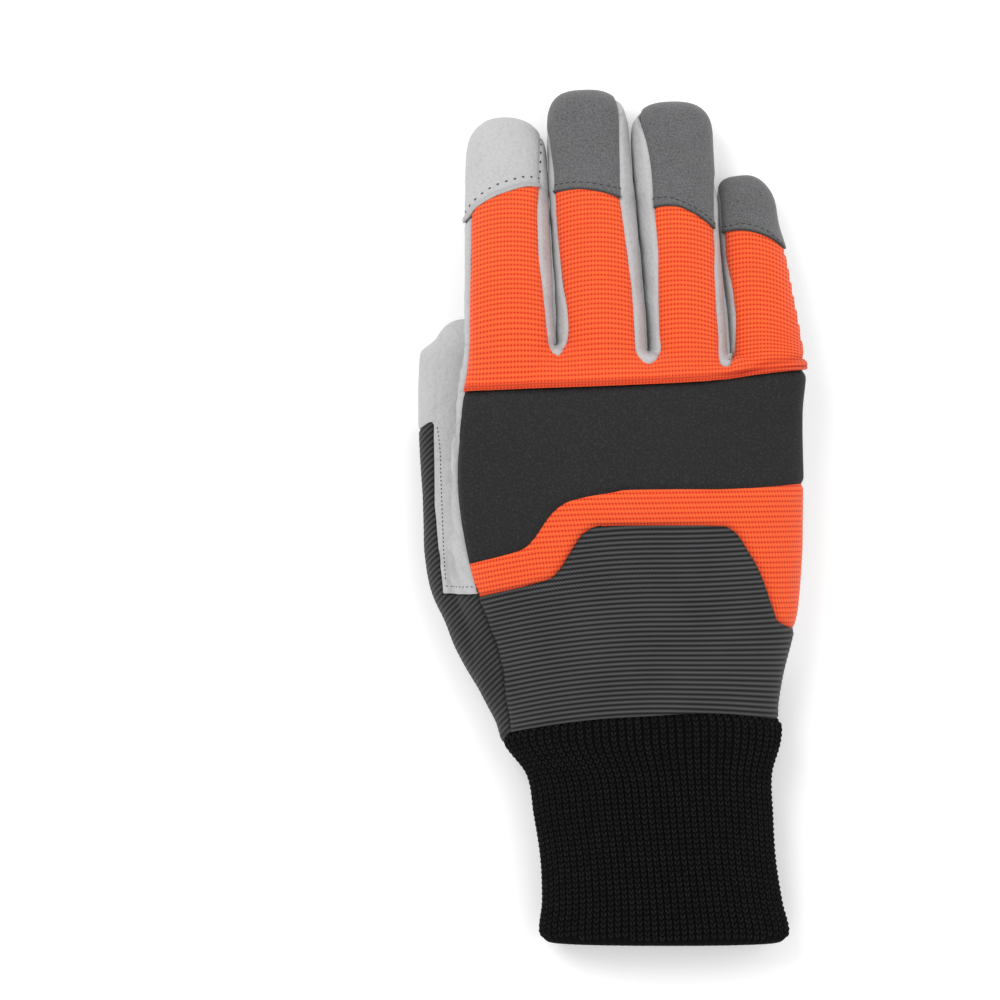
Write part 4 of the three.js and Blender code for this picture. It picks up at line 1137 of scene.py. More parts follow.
def palm_panel(name, rows, bend, stretch, finish, lift_of, shade_of, pitch, relief, sizes):
    """A panel across the palm's back: its rows follow its ribs and its columns go round its right side."""
    angles = np.concatenate((np.arange(182, 90, -1.0), np.arange(90, 30, -1.0), np.arange(30, -14, -.7)))

    def place(u, v):
        angle = np.radians(u)
        guess = palm_point((v - WRIST_Y) / PALM_LENGTH, angle)
        y = v + bend(guess[:, 0], v)
        along = (y - WRIST_Y) / PALM_LENGTH
        p = palm_point(along, angle)
        p[:, 1] = y
        a = palm_point(along, angle - .02)
        b = palm_point(along, angle + .02)
        n = np.column_stack((b[:, 2] - a[:, 2], 0 * y, a[:, 0] - b[:, 0]))
        n /= np.maximum(np.linalg.norm(n, axis=1), 1e-9)[:, None]
        n[u > 90] = (0, 0, 1)
        points = cast(p, -n, 40.0)
        grid = points.reshape(len(rows), -1, 3)
        steps = np.linalg.norm(np.diff(np.where(grid < -500, 0, grid), axis=1), axis=2)
        reach = np.concatenate((np.zeros((len(rows), 1)), np.cumsum(np.minimum(steps, 3.0), 1)), 1).ravel()
        return np.column_stack((points, v, reach))
    data, tris = lines_grid(angles, rows, place)
    tris = settled(data[:, :3], tris, 5.0)
    fields = back_fields(data[:, :3])
    data = np.column_stack((data, fields[name], fields["top"], fields["bottom"], fields["band"],
                            wrist_field(data[:, :3])))
    data, tris = cut(data, tris, np.minimum(data[:, 5], data[:, 9]))
    data, tris = without_crumbs(data, tris)
    points, rib, run = data[:, :3], data[:, 3] / stretch, data[:, 4]
    lines = {"field": np.minimum(data[:, 5], data[:, 9]), "top": data[:, 6], "bottom": data[:, 7],
             "band": data[:, 8], "wrist": data[:, 9]}
    points = lifted(points, tris, lift_of(points, lines))
    shade = shade_of(points, lines)
    if relief is None:
        return walled(name, points, tris, {"run": run, "shade": np.clip(shade, 0, 1)}, finish, sizes)
    flat = np.ones(len(points))
    return rib_panel(name, points, tris, rib, run, flat, shade, finish, relief, pitch, sizes)


def skin_panels():
    """Cuts the skin into the panels that follow it: caps, gusset and all the leather."""
    points, tris = work["skin"]
    data, tris = cut(points, tris, wrist_field(points))
    fields = back_fields(data)
    order = {n + "_cap": fields["caps"][n] for n in FINGER_NAMES}
    order["back"] = fields["back"]
    order.update(leather_fields(data, fields["above"]))
    data = np.column_stack([data] + list(order.values()))
    panels = {}
    for k, key in enumerate(order):
        panels[key] = cut(data, tris, data[:, 3 + k])
        data, tris = cut(data, tris, -data[:, 3 + k])
    panels["palm_leather"] = (data, tris)
    return panels


def rim_distance(points, tris):
    """Distance from each point to the panel's own rim."""
    rim = rim_edges(tris, len(points))
    spots = np.vstack((points[np.unique(rim)], (points[rim[:, 0]] + points[rim[:, 1]]) / 2))
    tree = KDTree(len(spots))
    for i, p in enumerate(spots.tolist()):
        tree.insert(p, i)
    tree.balance()
    return np.array([tree.find(p)[2] for p in points.tolist()])


def leather_lift(points, above):
    """How far the leather's creases and wrinkles stand up, and the painted shade in them."""
    x, y, z = points.T
    seen_part = above > -4
    lift = .30 * value_noise(points, 9.0, 11) + .14 * value_noise(points, 4.2, 12)
    # Slanting wrinkles between the thumb and the guard, and the puckered edge beside the gusset.
    between = np.clip((-44 - x) / 6, 0, 1) * (above > -6) * np.clip((62 - y) / 15, 0, 1)
    slanting = np.column_stack(((x + .55 * y) / 2.0, (y - .55 * x) / 9.0, z / 9.0))
    wrinkles = value_noise(slanting, 1.0, 13)
    edge = line_distance(on_plan(GUSSET_EDGE), x, y)
    puckers = 1 + .5 * np.sin(y * 2 * math.pi / PUCKER_PITCH)
    lift += .45 * between * wrinkles + .35 * fades(edge - .9, .6) * seen_part * puckers
    # Painted shade in the wrinkles' hollows and beside the puckered edge; each crease below gets painted shade
    # too.
    shade = .3 * between * np.clip(-wrinkles, 0, 1) + .3 * fades(edge - 2.1, .5) * seen_part
    for line, depth, width in CREASES:
        here = fades(line_distance(curved(np.array(line)), x, y), width) * seen_part
        lift -= depth * here
        shade += .45 * here
    return lift, shade


def tint(name, text, about):
    """A colour that a user can change."""
    return bpy.props.FloatVectorProperty(name=name, description=about, subtype="COLOR", size=4, min=0, max=1,
                                         default=linear(text))


# The add-on

class GloveSizes(bpy.types.PropertyGroup):
    """Sizes of the fabric and its finer parts"""
    rib_pitch: bpy.props.FloatProperty(
        name="Rib pitch", description="From one rib of the bright fabric to the next",
        default=.00163, min=.0008, max=.004, unit="LENGTH", precision=5)
    wrist_pitch: bpy.props.FloatProperty(
        name="Wrist rib pitch", description="From one rib of the grey fabric to the next",
        default=.00166, min=.0008, max=.004, unit="LENGTH", precision=5)
    rib_depth: bpy.props.FloatProperty(
        name="Rib depth", description="How far a rib stands over its grooves",
        default=.00022, min=0, max=.001, unit="LENGTH", precision=5)
    fabric_thickness: bpy.props.FloatProperty(
        name="Panel thickness", description="Fabric or leather with its lining",
        default=.0013, min=.0006, max=.003, unit="LENGTH", precision=5)
    patch_thickness: bpy.props.FloatProperty(
        name="Patch thickness", description="The quilted palm patch between its stitch lines",
        default=.0028, min=.001, max=.006, unit="LENGTH", precision=5)
    skin_detail: bpy.props.FloatProperty(
        name="Skin detail", description="Size of the cells that the leather is made from, in millimetres",
        default=.78, min=.5, max=2)


class GloveColours(bpy.types.PropertyGroup):
    """Colours of the glove's fabrics, leather and thread"""
    leather: tint("Leather", "#c3c3c4", "Face of the goat leather")
    leather_shade: tint("Leather shade", "#b6b6b7", "Its duller patches")
    leather_pore: tint("Leather pores", "#868688", "The valleys of its grain")
    # Leather painted shade is the colour of the painted shade in the leather's folds, wrinkles and seams.
    leather_painted_shade: tint("Leather crease", "#6a6a6d", "Painted shade in folds, wrinkles, seams and quilting lines")
    bright: tint("Bright rib", "#ff6a31", "Crest of the bright rib")
    # The colours of the grooves are painted shade in the ribs' grooves.
    bright_groove_shade: tint("Bright groove", "#f74b1e", "Painted shade in the bright rib's grooves")
    # Shadow colours are painted shadow in the gaps between loops, in folds and along seams; the grey one is also
    # the wrist seam's thread.
    bright_deep: tint("Bright shadow", "#a0160a", "Painted shadow in the bright rib's loop gaps, folds and seams")
    grey: tint("Grey rib", "#5d5d5f", "Crest of the grey rib")
    grey_groove_shade: tint("Grey groove", "#111112", "Painted shade in the grey rib's grooves")
    grey_shadow_and_thread: tint("Grey rib shadow and seam thread", "#0b0b0c", "Painted shadow in the grey rib's loop gaps, folds and seams, and the wrist seam's thread")
    # The guard colour is also the painted shadow along the suede caps' lower edges.
    guard: tint("Guard", "#191919", "Woven guard across the back")
    guard_light: tint("Guard bloom", "#29292b", "Raised threads of the guard")
    guard_lint: tint("Guard lint", "#343436", "Fibres that lie on the guard")
    suede: tint("Suede", "#727273", "Nap of the fingertips")
    suede_dark: tint("Suede dark", "#3c3c3e", "Roots of the nap")
    suede_light: tint("Suede light", "#777779", "Brushed nap")
    knit: tint("Knit", "#060607", "Yarn of the cuff")
    knit_light: tint("Knit light", "#6e6e72", "Its loose fibres")
    thread: tint("Thread", "#b4b4b5", "Thread on the leather")
    thread_dark: tint("Dark thread", "#3b3b3d", "Thread on the suede")
    # Dark marks at the needle holes are painted shade.
    hole: tint("Needle hole", "#29292b", "Painted shade of the needle holes in the leather")
    floor: tint("Floor", "#ffffff", "What the glove lies on")


def dress(obj, name):
    """Tells the frame what a finished panel is and what it stands for."""
    obj.name = "sewn_" + name
    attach(obj, "root")
    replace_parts(obj, name)


class GLOVE_OT_skin(bpy.types.Operator):
    """Grow the palm, thumb and fingers into one skin"""
    bl_idname = "glove.skin"
    bl_label = "Skin"

    def execute(self, context):
        points, tris = build_skin(context.scene.glove_sizes.skin_detail)
        work["skin"] = (points, tris)
        work["tree"] = BVHTree.FromPolygons(points.tolist(), tris.tolist())
        work["relief"] = rib_relief_tree()
        colours = context.scene.glove_colours
        work["leather"] = goat_leather(colours)
        work["bright"] = rib_fabric("bright_polyester_rib", colours.bright, colours.bright_groove_shade,
                                    colours.bright_deep, 1.63, 1.14, 0, 1.2, .24, .78, .15)
        work["grey"] = rib_fabric("grey_polyester_rib", colours.grey, colours.grey_groove_shade, colours.grey_shadow_and_thread,
                                  1.66, 1.05, .8, .62, .4, .85, .1)
        work["panels"] = skin_panels()
        return {"FINISHED"}


class GLOVE_OT_bright_fabric(bpy.types.Operator):
    """Make the bright rib fabric over the knuckles and the band below the guard"""
    bl_idname = "glove.bright_fabric"
    bl_label = "Bright Fabric"

    def execute(self, context):
        sizes = context.scene.glove_sizes
        dress(make_knuckle_fabric(sizes, work["bright"], work["relief"]), "knuckle_fabric")

        def bend(x, v):
            return -.0016 * np.maximum(0, -x - 5) ** 2 - .07 * np.maximum(0, -x - 25) + .015 * x

        def lift(points, lines):
            made = .25 + tucked(lines["field"], .75, .9) - .5 * fades(np.maximum(lines["band"], 0), 3.5)
            return made + .15 * value_noise(points, 12.0, 5)

        def shade(points, lines):
            # Painted shade along the band's lower edge, where it turns into its seam with the wrist panel.
            return .3 * fades(np.maximum(lines["band"], 0), 1.6)
        pitch = sizes.rib_pitch * 1000
        rows = np.arange(-42.0, 20.0, pitch / ROWS_A_RIB)
        piece = palm_panel("band_fabric", rows, bend, 1.07, work["bright"], lift, shade, pitch,
                           work["relief"], sizes)
        dress(piece, "band_fabric")
        return {"FINISHED"}


class GLOVE_OT_guard(bpy.types.Operator):
    """Make the woven guard across the back"""
    bl_idname = "glove.guard"
    bl_label = "Guard"

    def execute(self, context):
        sizes = context.scene.glove_sizes

        def lift(points, lines):
            return (.45 + tucked(lines["field"], .9, 1.1) - .5 * fades(np.maximum(-lines["top"], 0), 1.6)
                    + .2 * value_noise(points, 16.0, 7))
        finish = guard_fabric(context.scene.glove_colours)
        piece = palm_panel("guard_panel", np.arange(-30.0, 60.0, .6), lambda x, v: 0 * x, 1, finish, lift,
                           lambda points, lines: 0 * lines["field"], None, None, sizes)
        dress(piece, "guard_panel")
        return {"FINISHED"}


class GLOVE_OT_wrist_panel(bpy.types.Operator):
    """Make the grey rib panel over the wrist"""
    bl_idname = "glove.wrist_panel"
    bl_label = "Wrist Panel"

    def execute(self, context):
        sizes = context.scene.glove_sizes

        def bend(x, v):
            left = -.00205 * np.minimum(x - 17, 0) ** 2
            rise = np.clip((v + 72) / 40, 0, 1)
            right = (-.0020 * (1 - rise) + .0010 * rise) * np.maximum(x - 17, 0) ** 2
            return left + right

        def lift(points, lines):
            over = .55 * fades(np.maximum(lines["wrist"], 0), 3)
            return .2 + tucked(lines["field"], .7, .9) + over + .2 * value_noise(points, 14.0, 9)

        def shade(points, lines):
            # Painted shade along the top edge, under the seam with the bright band.
            return .35 * fades(np.maximum(-lines["band"], 0), .7)
        pitch = sizes.wrist_pitch * 1000
        rows = np.arange(-82.0, 4.0, pitch / ROWS_A_RIB)
        piece = palm_panel("wrist_panel", rows, bend, 1, work["grey"], lift, shade, pitch,
                           work["relief"], sizes)
        dress(piece, "wrist_panel")
        return {"FINISHED"}


class GLOVE_OT_leather(bpy.types.Operator):
    """Make the leather: palm, finger fronts, side walls, thumb and the index fingertip"""
    bl_idname = "glove.leather"
    bl_label = "Leather"

    def execute(self, context):
        sizes = context.scene.glove_sizes
        panels = work["panels"]
        for name, (data, tris) in panels.items():
            if name in ("back", "thumb_gusset") or (name.endswith("_cap") and name != "index_cap"):
                continue
            data, tris = without_crumbs(data, tris, 60)
            points = data[:, :3]
            rim = rim_distance(points, tris)
            above = points[:, 2] - middle_sheet(points[:, 0], points[:, 1])
            lift, shade = leather_lift(points, above)
            # Seams beside the fabric turn in; those between leather and leather lie almost flat.
            beside = fades(np.maximum(-back_fields(points)["back"], 0), 1.5)
            hidden = np.where(above < -4, .25, 0)
            lift += tucked(rim, .6, .8) * np.maximum(beside, hidden)
            if name == "index_cap":
                low = line_distance(cap_line("index"), *seen(points))
                lift += 1.1 * fades(low, 1.6) - .35 * fades(low - 1.9, .5)
                # A band of painted shade above the index cap's hem fold.
                shade += .4 * fades(low - 1.2, .5)
                beside = beside * (low < 3)
            if name == "side_panel":
                hem = np.abs(points[:, 1] - (WRIST_Y + SIDE_PANEL[0][1] * PALM_LENGTH))
                lift += .7 * fades(hem, 2.0) * (above > -2)
            # Painted shade along the rims of the seams beside the fabric and on the palm side.
            seam = (.1 if name.startswith("fourchette") else .35) * fades(rim, .7)
            shade = np.clip(shade + seam * np.maximum(beside, hidden), 0, 1)
            piece = walled(name, lifted(points, tris, lift), tris, {"shade": shade}, work["leather"], sizes)
            dress(piece, name)
        return {"FINISHED"}


class GLOVE_OT_fingertips(bpy.types.Operator):
    """Make the suede caps of the middle, ring and little finger"""
    bl_idname = "glove.fingertips"
    bl_label = "Fingertips"

    def execute(self, context):
        sizes = context.scene.glove_sizes
        suede = synthetic_suede(context.scene.glove_colours)
        panels = work["panels"]
        for n in FINGER_NAMES[1:]:
            data, tris = without_crumbs(*panels[n + "_cap"], 60)
            points = data[:, :3]
            rim = rim_distance(points, tris)
            low = line_distance(cap_line(n), *seen(points))
            side = np.where(low < rim + .4, 9.0, rim)
            lift = .15 + tucked(side, .6, .9) + .65 * fades(low, 3.5) + .12 * value_noise(points, 8.0, 21)
            points = lifted(points, tris, lift)
            # Painted shadow along the cap's lower edge, where it lies over the bright fabric.
            piece = walled(n + "_cap", points, tris, {"shade": .8 * fades(low, .5)}, suede, sizes)
            dress(piece, n + "_cap")
        return {"FINISHED"}


class GLOVE_OT_gusset(bpy.types.Operator):
    """Make the grey rib gusset of the thumb and wrist"""
    bl_idname = "glove.gusset"
    bl_label = "Thumb Gusset"

    def execute(self, context):
        sizes = context.scene.glove_sizes
        panels = work["panels"]
        data, tris = without_crumbs(*panels["thumb_gusset"], 60)
        points = data[:, :3]
        x, y, z = points.T
        rim = rim_distance(points, tris)
        # The ribs run up to the right.
        rib = .78 * (y - .78 * (x + 40) + .25 * (20 - z))
        run = x + .4 * y + z
        lift = tucked(rim, .6, .8) + .15 * value_noise(points, 12.0, 31)
        # Painted shade: the whole gusset is darkened, and more along its seams.
        shade = .3 + .4 * fades(rim, .6)
        points = lifted(points, tris, lift)
        piece = rib_panel("thumb_gusset", points, tris, rib, run, np.ones(len(points)), shade,
                          work["grey"], work["relief"], sizes.wrist_pitch * 1000, sizes)
        dress(piece, "thumb_gusset")
        return {"FINISHED"}


def patch_outline():
    """The palm patch's edge on the plan, from its first point round to it again."""
    return curved(np.vstack((on_plan(PATCH), on_plan(PATCH)[:1])), 5)


class GLOVE_OT_palm_patch(bpy.types.Operator):
    """Make the quilted patch on the palm"""
    bl_idname = "glove.palm_patch"
    bl_label = "Palm Patch"

    def execute(self, context):
        sizes = context.scene.glove_sizes
        thick = sizes.patch_thickness * 1000
        columns, rows = np.arange(-48.0, 62.0, .9), np.arange(-10.0, 48.0, .55)
        data, tris = lines_grid(columns, rows, lambda x, y: cast_upright(x, y, -20.0, 1.0))
        tris = settled(data, tris, 5.0)[:, ::-1]
        field = line_distance(patch_outline(), data[:, 0], data[:, 1], True)
        above = data[:, 2] - middle_sheet(data[:, 0], data[:, 1])
        thumb = tube_field(thumb_section, data, THUMB_ROOT_Y, THUMB_LENGTH)
        field = np.minimum.reduce((field, -above - 3, -thumb - 2.2))
        data, tris = cut(np.column_stack((data, field)), tris, field)
        data, tris = without_crumbs(data, tris)
        points, field = data[:, :3], data[:, 3]
        x, y, _ = points.T
        along = (y - skew_at(x, (y - WRIST_Y) / PALM_LENGTH) - WRIST_Y) / PALM_LENGTH
        near = np.min([np.abs(along - q) * PALM_LENGTH for q in QUILT_LINES], axis=0)
        swell = 1 - .72 * np.exp(-(near / 1.5) ** 1.4)
        rise = np.clip(1 - (1 - np.clip(field / 2.2, 0, 1)) ** 2, 0, 1) ** .7
        lift = .15 + (thick - .4) * rise * swell + .2 * value_noise(points, 7.0, 41) * rise
        outer = lifted(points, tris, lift)
        outer[:, 2] = np.maximum(outer[:, 2], .05)
        inner = lifted(points, tris, np.full(len(points), .05))
        _, faces, _ = shell(points, tris, 1.0, {})
        # Painted shade in the quilted grooves and along the patch's edge.
        shade = .4 * fades(near, .5) + .3 * fades(field, .5)
        piece = make_piece("palm_patch", np.vstack((outer, inner)), faces,
                           {"shade": np.concatenate((shade, shade))}, work["leather"])
        piece.name = "sewn_palm_patch"
        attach(piece, "root")
        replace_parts(piece, "palm_patch")
        return {"FINISHED"}


def cuff_section(y, angle, inset):
    """Points of the cuff's form, an inset inside its outer face."""
    row = row_at(CUFF_ROWS, (WRIST_Y - y) / CUFF_LENGTH)
    c, s = rounded(angle)
    x = row[:, 1] * CUFF_WIDTH + c * (row[:, 2] * CUFF_WIDTH / 2 - inset)
    z = row[:, 3] * CUFF_THICKNESS + s * (row[:, 4] * CUFF_THICKNESS / 2 - inset)
    z = np.maximum(np.maximum(inset, 0), z)
    return np.column_stack((x, y, z))


def cuff_angles(count):
    """Angles that divide the cuff's girth evenly."""
    fine = np.linspace(0, 2 * math.pi, 2001)
    p = cuff_section(np.full(len(fine), WRIST_Y - 40.0), fine, 0.0)
    length = np.concatenate(([0], np.cumsum(np.linalg.norm(np.diff(p, axis=0), axis=1))))
    return np.interp(np.linspace(0, length[-1], count, endpoint=False), length, fine)


# Columns of loops round the cuff, points to a column, stations down its outside, and each loop's size.
WALES, WALE_POINTS, CUFF_STATIONS = 78, 4, 70
LOOP_STEP, LOOP_WIDTH, LOOP_HEIGHT = 1.85, .00185, .0019


def cuff_rings():
    """Rings of the cuff: down its outside, round the mouth and back up the inside."""
    angles = cuff_angles(WALES * WALE_POINTS)
    around = np.arange(len(angles)) * 2 * math.pi / WALE_POINTS
    ribs, folds = np.cos(around), np.sin(around / 3.3)
    mouth = WRIST_Y - CUFF_LENGTH
    low = mouth + KNIT_WALL / 2
    line = curved(on_plan(WRIST_LINE))
    profile = [(s, 0.0) for s in np.linspace(0, 1, CUFF_STATIONS)[:-1]]
    profile += [(1 + .5 * KNIT_WALL * math.sin(a) / CUFF_LENGTH, .5 * KNIT_WALL * (1 - math.cos(a)))
                for a in np.linspace(0, math.pi, 9)]
    profile += [(s, KNIT_WALL) for s in np.linspace(1, 0, 30)[1:]]
    rings = []
    for share, inset in profile:
        guess = cuff_section(np.full(len(angles), WRIST_Y + (mouth - WRIST_Y) * max(share, 0)), angles, 0.0)
        # The knit starts under the panels' edge, 2.6 mm above their seam.
        top = np.interp(guess[:, 0], line[:, 0], line[:, 1]) + 2.6
        y = top + (low - top) * share
        down = np.maximum(0, top - y)
        p = cuff_section(y, angles, np.full(len(angles), inset))
        gather = .42 * folds * np.exp(-down / 7)
        hem = 1.7 * fades(np.maximum(0, down - 2.3), 1.2)
        out = .35 * ribs + gather - hem if inset == 0 else .25 * ribs * (inset < KNIT_WALL)
        away = p - p.mean(0)
        away[:, 1] = 0
        away[:, 0] *= .35
        p = p + away * (out / np.linalg.norm(away, axis=1))[:, None]
        p[:, 2] = np.maximum(p[:, 2], 0)
        rings.append(p)
    return np.array(rings)


def ring_faces(count, sides):
    """Triangles of a form whose rings close on themselves both ways, facing out."""
    r, i = np.meshgrid(np.arange(count), np.arange(sides), indexing="ij")
    j, q = (i + 1) % sides, (r + 1) % count
    a, b, c, d = (v.ravel() for v in (r * sides + i, r * sides + j, q * sides + j, q * sides + i))
    return np.vstack((np.column_stack((a, d, c)), np.column_stack((a, c, b))))


def loop_places(outside, normals):
    """Where the knit's loops stand on the crests of the outer ribs, which way is out and which is along."""
    spots, ups, ways = [], [], []
    for k in range(0, WALES * WALE_POINTS, WALE_POINTS):
        path = outside[:, k]
        run = np.concatenate(([0], np.cumsum(np.linalg.norm(np.diff(path, axis=0), axis=1))))
        steps = np.arange(3.0, run[-1] + .4, LOOP_STEP)
        at, n = (np.column_stack([np.interp(steps, run, line[:, m]) for m in range(3)])
                 for line in (path, normals[:, k]))
        spots.append(at - n * .12)
        ups.append(n)
        ways.append(-np.gradient(at, axis=0))
    spots, ups, ways = (np.vstack(v) for v in (spots, ups, ways))
    keep = spots[:, 2] > .35
    return spots[keep], ups[keep], ways[keep]


class GLOVE_OT_cuff(bpy.types.Operator):
    """Make the double rib-knit cuff with its loops"""
    bl_idname = "glove.cuff"
    bl_label = "Knit Cuff"

    def execute(self, context):
        colours = context.scene.glove_colours
        rings = cuff_rings()
        count, sides = rings.shape[:2]
        tris = ring_faces(count, sides)
        points = rings.reshape(-1, 3)
        if volume(points, tris) < 0:
            tris = tris[:, ::-1]
        yarn = knit_yarn("acrylic_knit_yarn", colours.knit, colours.knit_light)
        inner_yarn = knit_yarn("acrylic_knit_ground", colours.knit, colours.knit)
        body = make_piece("knit_cuff", points, tris, {}, inner_yarn)
        normals = point_normals(points, tris).reshape(count, sides, 3)
        outside = CUFF_STATIONS - 1
        spots, ups, ways = loop_places(rings[:outside], normals[:outside])
        mesh = plain_mesh("loops", (spots + SHIFT) / 1000, [])
        for key, values in (("up", ups), ("way", ways)):
            vectors = mesh.attributes.new(key, "FLOAT_VECTOR", "POINT").data
            vectors.foreach_set("vector", values.astype(np.float32).ravel())
        loops = bpy.data.objects.new("knit_loops", mesh)
        context.scene.collection.objects.link(loops)
        with_nodes(loops, knit_tree(), Width=LOOP_WIDTH, Height=LOOP_HEIGHT, Yarn=yarn)
        for vertex in loops.data.vertices:
            vertex.co.z = max(vertex.co.z, FLOOR_GAP / 1000)
        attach(loops, "root")
        dress(body, "knit_cuff")
        return {"FINISHED"}


def volume(points, tris):
    """The volume that triangles close in; it is negative when they face in."""
    a, b, c = points[tris[:, 0]], points[tris[:, 1]], points[tris[:, 2]]
    return (a * np.cross(b, c)).sum() / 6


# Each seam: places along it in the picture's pixels, millimetres from stitch to stitch, and its kind.
SEWN = {
    "index_hem": (((466, 213), (468.3, 209), (476.7, 200), (487.5, 191.7), (499, 185.8),
                   (511.7, 181.7), (525, 178.3), (538.3, 179)), 3.1, "hole"),
    "index_side": (((541.5, 124), (541.3, 140), (540.5, 158), (540, 172)), 3.1, "hole"),
    "side_hem": (((447, 586), (460, 586.5), (472, 586)), 1.7, "small"),
    "thumb_seam": (((437.5, 428), (440, 450), (441, 480), (442.5, 520), (444, 555), (445.5, 578)),
                   1.4, "small"),
}
SEWN_WRIST = {"seam": (((481, 600), (488.5, 620), (498.5, 648), (503, 668), (506, 694), (509, 722)),
                       2.0, "thread")}
SEWN_DARK = {
    "middle_cap": (((556, 186), (577.5, 184), (595, 186), (619, 190)), 2.2, "thread"),
    "ring_cap": (((653, 200), (665, 198.7), (677.5, 201.7), (690, 207.5), (702.5, 215), (713.5, 224.5)),
                 2.2, "thread"),
    "little_cap": (((723, 226.5), (745, 224), (765, 230.5), (782, 243)), 2.2, "thread"),
}
# Each kind of stitch: its length, width and height in metres, and whether it is a dark needle mark of painted
# shade.
STITCHES = {"thread": (.0015, .0005, .00042, False), "hole": (.0011, .00062, .0003, True),
            "small": (.0008, .0004, .0002, True)}


def quilt_seams():
    """The palm patch's seams: its quilted rows and a line inside its edge."""
    outline = patch_outline()
    x = np.arange(-44.0, 58.0, .8)
    lines = []
    for q in QUILT_LINES:
        y = WRIST_Y + q * PALM_LENGTH + skew_at(x, q)
        lines.append(np.column_stack((x, y))[line_distance(outline, x, y, True) > 1.2])
    inner = outline.mean(0) + (outline - outline.mean(0)) * .955
    lines.append(np.vstack((inner, inner[:1])))
    return {str(k): (line, 2.1, "thread") for k, line in enumerate(lines)}


def seam_mesh(name, path, side):
    """A seam laid on the finished surface, with the way up at each of its points."""
    found = [surface_spot(x, y, side) for x, y in path.tolist()]
    numbers = np.cumsum([spot is not None for spot in found]) - 1
    joined = [(int(numbers[k]), int(numbers[k + 1])) for k in range(len(found) - 1)
              if found[k] is not None and found[k + 1] is not None]
    spots = [spot for spot in found if spot is not None]
    mesh = bpy.data.meshes.new(name)
    mesh.from_pydata([tuple(at) for at, _ in spots], joined, [])
    ups = mesh.attributes.new("up", "FLOAT_VECTOR", "POINT").data
    ups.foreach_set("vector", np.array([up for _, up in spots], np.float32).ravel())
    return mesh


class GLOVE_OT_stitching(bpy.types.Operator):
    """Sew the seams: threads, and dark marks of painted shade at the needle holes"""
    bl_idname = "glove.stitching"
    bl_label = "Stitching"

    def execute(self, context):
        colours = context.scene.glove_colours
        tree = stitch_tree()
        work["pieces"] = [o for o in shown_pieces() if o.get("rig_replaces")]
        for name, seams, colour, slot, side in (
                ("leather", SEWN, colours.thread, "leather", 1),
                ("suede", SEWN_DARK, colours.thread_dark, "suede", 1),
                ("wrist", SEWN_WRIST, colours.grey_shadow_and_thread, "grey_rib", 1),
                ("patch", quilt_seams(), colours.thread, "leather", -1)):
            thread = sewing_thread("polyester_thread_" + name, colour, .5)
            # Dark marks laid where the needle holes are stand for the shade in them.
            hole = sewing_thread("needle_holes_" + name, colours.hole, .9)
            for seam, (line, step, kind) in seams.items():
                path = curved(plan_px(line), 14) if side > 0 else line
                obj = bpy.data.objects.new("%s_stitches_%s" % (name, seam), seam_mesh(seam, path, side))
                context.scene.collection.objects.link(obj)
                long, wide, high, pierced = STITCHES[kind]
                with_nodes(obj, tree, Step=step / 1000, Length=long, Width=wide, Height=high,
                           Thread=hole if pierced else thread)
                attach(obj, "root")
        return {"FINISHED"}


def surface_spot(x, y, side):
    """The outermost finished surface over a place on the plan, or the patch's under it, and its normal."""
    origin = Vector(((x + SHIFT[0]) / 1000, (y + SHIFT[1]) / 1000, .1 if side > 0 else -.05))
    best = None
    for obj in work["pieces"]:
        if side < 0 and obj.name != "sewn_palm_patch":
            continue
        found, hit, normal, _ = obj.ray_cast(origin, Vector((0, 0, -side)))
        if found and (best is None or side * hit.z > side * best[0].z):
            best = (hit, normal)
    return None if best is None else (best[0] + best[1] * .00005, best[1])


def paper_floor(colour):
    """White backdrop paper: matt, even, and lit a little from below, as a product table is."""
    material, tree, place = new_finish("matt_paper_floor")
    tone = node(tree, NOISE, {"Vector": place, "Scale": 900.0})
    uneven = node(tree, MATH, [tone, .03], operation="MULTIPLY")
    dull = tuple(c * .9 for c in colour[:3]) + (1,)
    paper = node(tree, MIX, {0: uneven, 6: colour, 7: dull}, data_type="RGBA").outputs[2]
    return finished(material, paper, None, 0, 0, {
        "Roughness": .9, "Specular IOR Level": .1, "Emission Color": (1, 1, 1, 1), "Emission Strength": .13})


# Each lamp: where it is, its size and its power.
LAMPS = {"key": ((-.75, .75, 1.35), .9, 10), "fill": ((.9, .2, 1.5), 1.2, 5)}


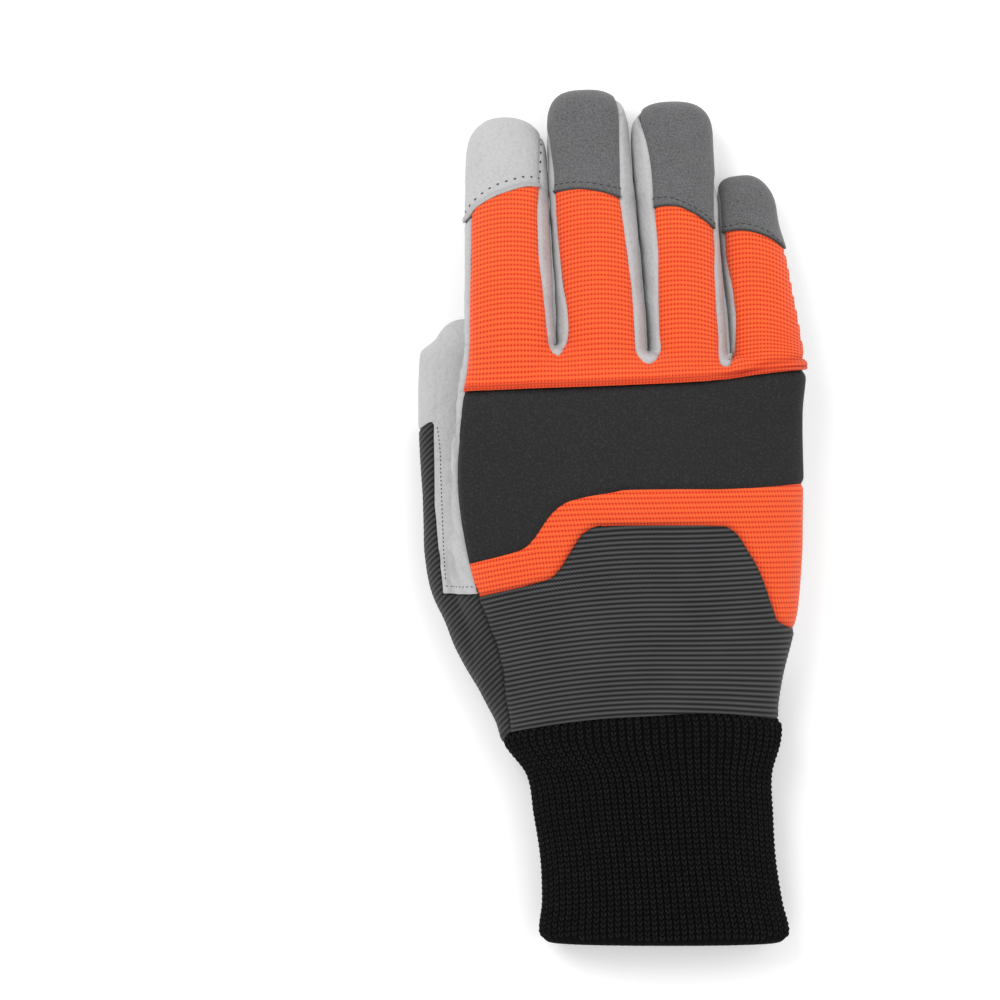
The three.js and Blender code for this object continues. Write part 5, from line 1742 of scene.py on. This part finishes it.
class GLOVE_OT_stage(bpy.types.Operator):
    """Set the floor, the light and the camera"""
    bl_idname = "glove.stage"
    bl_label = "Stage"

    def execute(self, context):
        scene = context.scene
        colours = scene.glove_colours
        bpy.ops.mesh.primitive_plane_add(size=6, location=(0, 0, 0))
        floor = context.active_object
        floor.name = "floor"
        floor.data.materials.append(paper_floor(colours.floor))
        floor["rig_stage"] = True
        world = bpy.data.worlds.new("studio")
        world.use_nodes = True
        world.node_tree.nodes["Background"].inputs[0].default_value = (1, 1, 1, 1)
        world.node_tree.nodes["Background"].inputs[1].default_value = .78
        scene.world = world
        for name, (spot, size, power) in LAMPS.items():
            light = bpy.data.lights.new(name, "AREA")
            light.shape, light.size, light.energy = "DISK", size, power
            lamp = bpy.data.objects.new(name, light)
            lamp.location = spot
            lamp.rotation_euler = (-Vector(spot)).to_track_quat("-Z", "Y").to_euler()
            scene.collection.objects.link(lamp)
        camera = bpy.data.cameras.new("camera")
        camera.lens, camera.sensor_width = LENS, SENSOR
        camera.clip_start, camera.clip_end = .05, 20
        eye = bpy.data.objects.new("camera", camera)
        eye.location = tuple((np.array(EYE) + SHIFT) / 1000)
        scene.collection.objects.link(eye)
        scene.camera = eye
        scene.view_settings.view_transform = "Standard"
        scene.view_settings.look = "None"
        return {"FINISHED"}


class GLOVE_PT_panel(bpy.types.Panel):
    """Sizes, colours and the steps that build the glove"""
    bl_idname = "GLOVE_PT_panel"
    bl_label = "Work Glove"
    bl_space_type = "VIEW_3D"
    bl_region_type = "UI"
    bl_category = "Glove"

    def draw(self, context):
        layout = self.layout
        for group in (context.scene.glove_sizes, context.scene.glove_colours):
            box = layout.box()
            for key in group.__annotations__:
                box.prop(group, key)
        for operator in OPERATORS:
            layout.operator(operator.bl_idname)


OPERATORS = (GLOVE_OT_skin, GLOVE_OT_bright_fabric, GLOVE_OT_guard, GLOVE_OT_wrist_panel, GLOVE_OT_leather,
             GLOVE_OT_fingertips, GLOVE_OT_gusset, GLOVE_OT_palm_patch, GLOVE_OT_cuff, GLOVE_OT_stitching,
             GLOVE_OT_stage)
CLASSES = (GloveSizes, GloveColours) + OPERATORS + (GLOVE_PT_panel,)


def register():
    """Adds the glove's panel and steps to Blender."""
    for item in CLASSES:
        bpy.utils.register_class(item)
    bpy.types.Scene.glove_sizes = bpy.props.PointerProperty(type=GloveSizes)
    bpy.types.Scene.glove_colours = bpy.props.PointerProperty(type=GloveColours)


def unregister():
    """Takes them out again."""
    del bpy.types.Scene.glove_colours
    del bpy.types.Scene.glove_sizes
    for item in reversed(CLASSES):
        bpy.utils.unregister_class(item)


def main():
    """Builds the glove step by step."""
    register()
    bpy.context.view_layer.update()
    for operator in OPERATORS:
        group, name = operator.bl_idname.split(".")
        getattr(getattr(bpy.ops, group), name)()


if __name__ == "__main__":
    main()
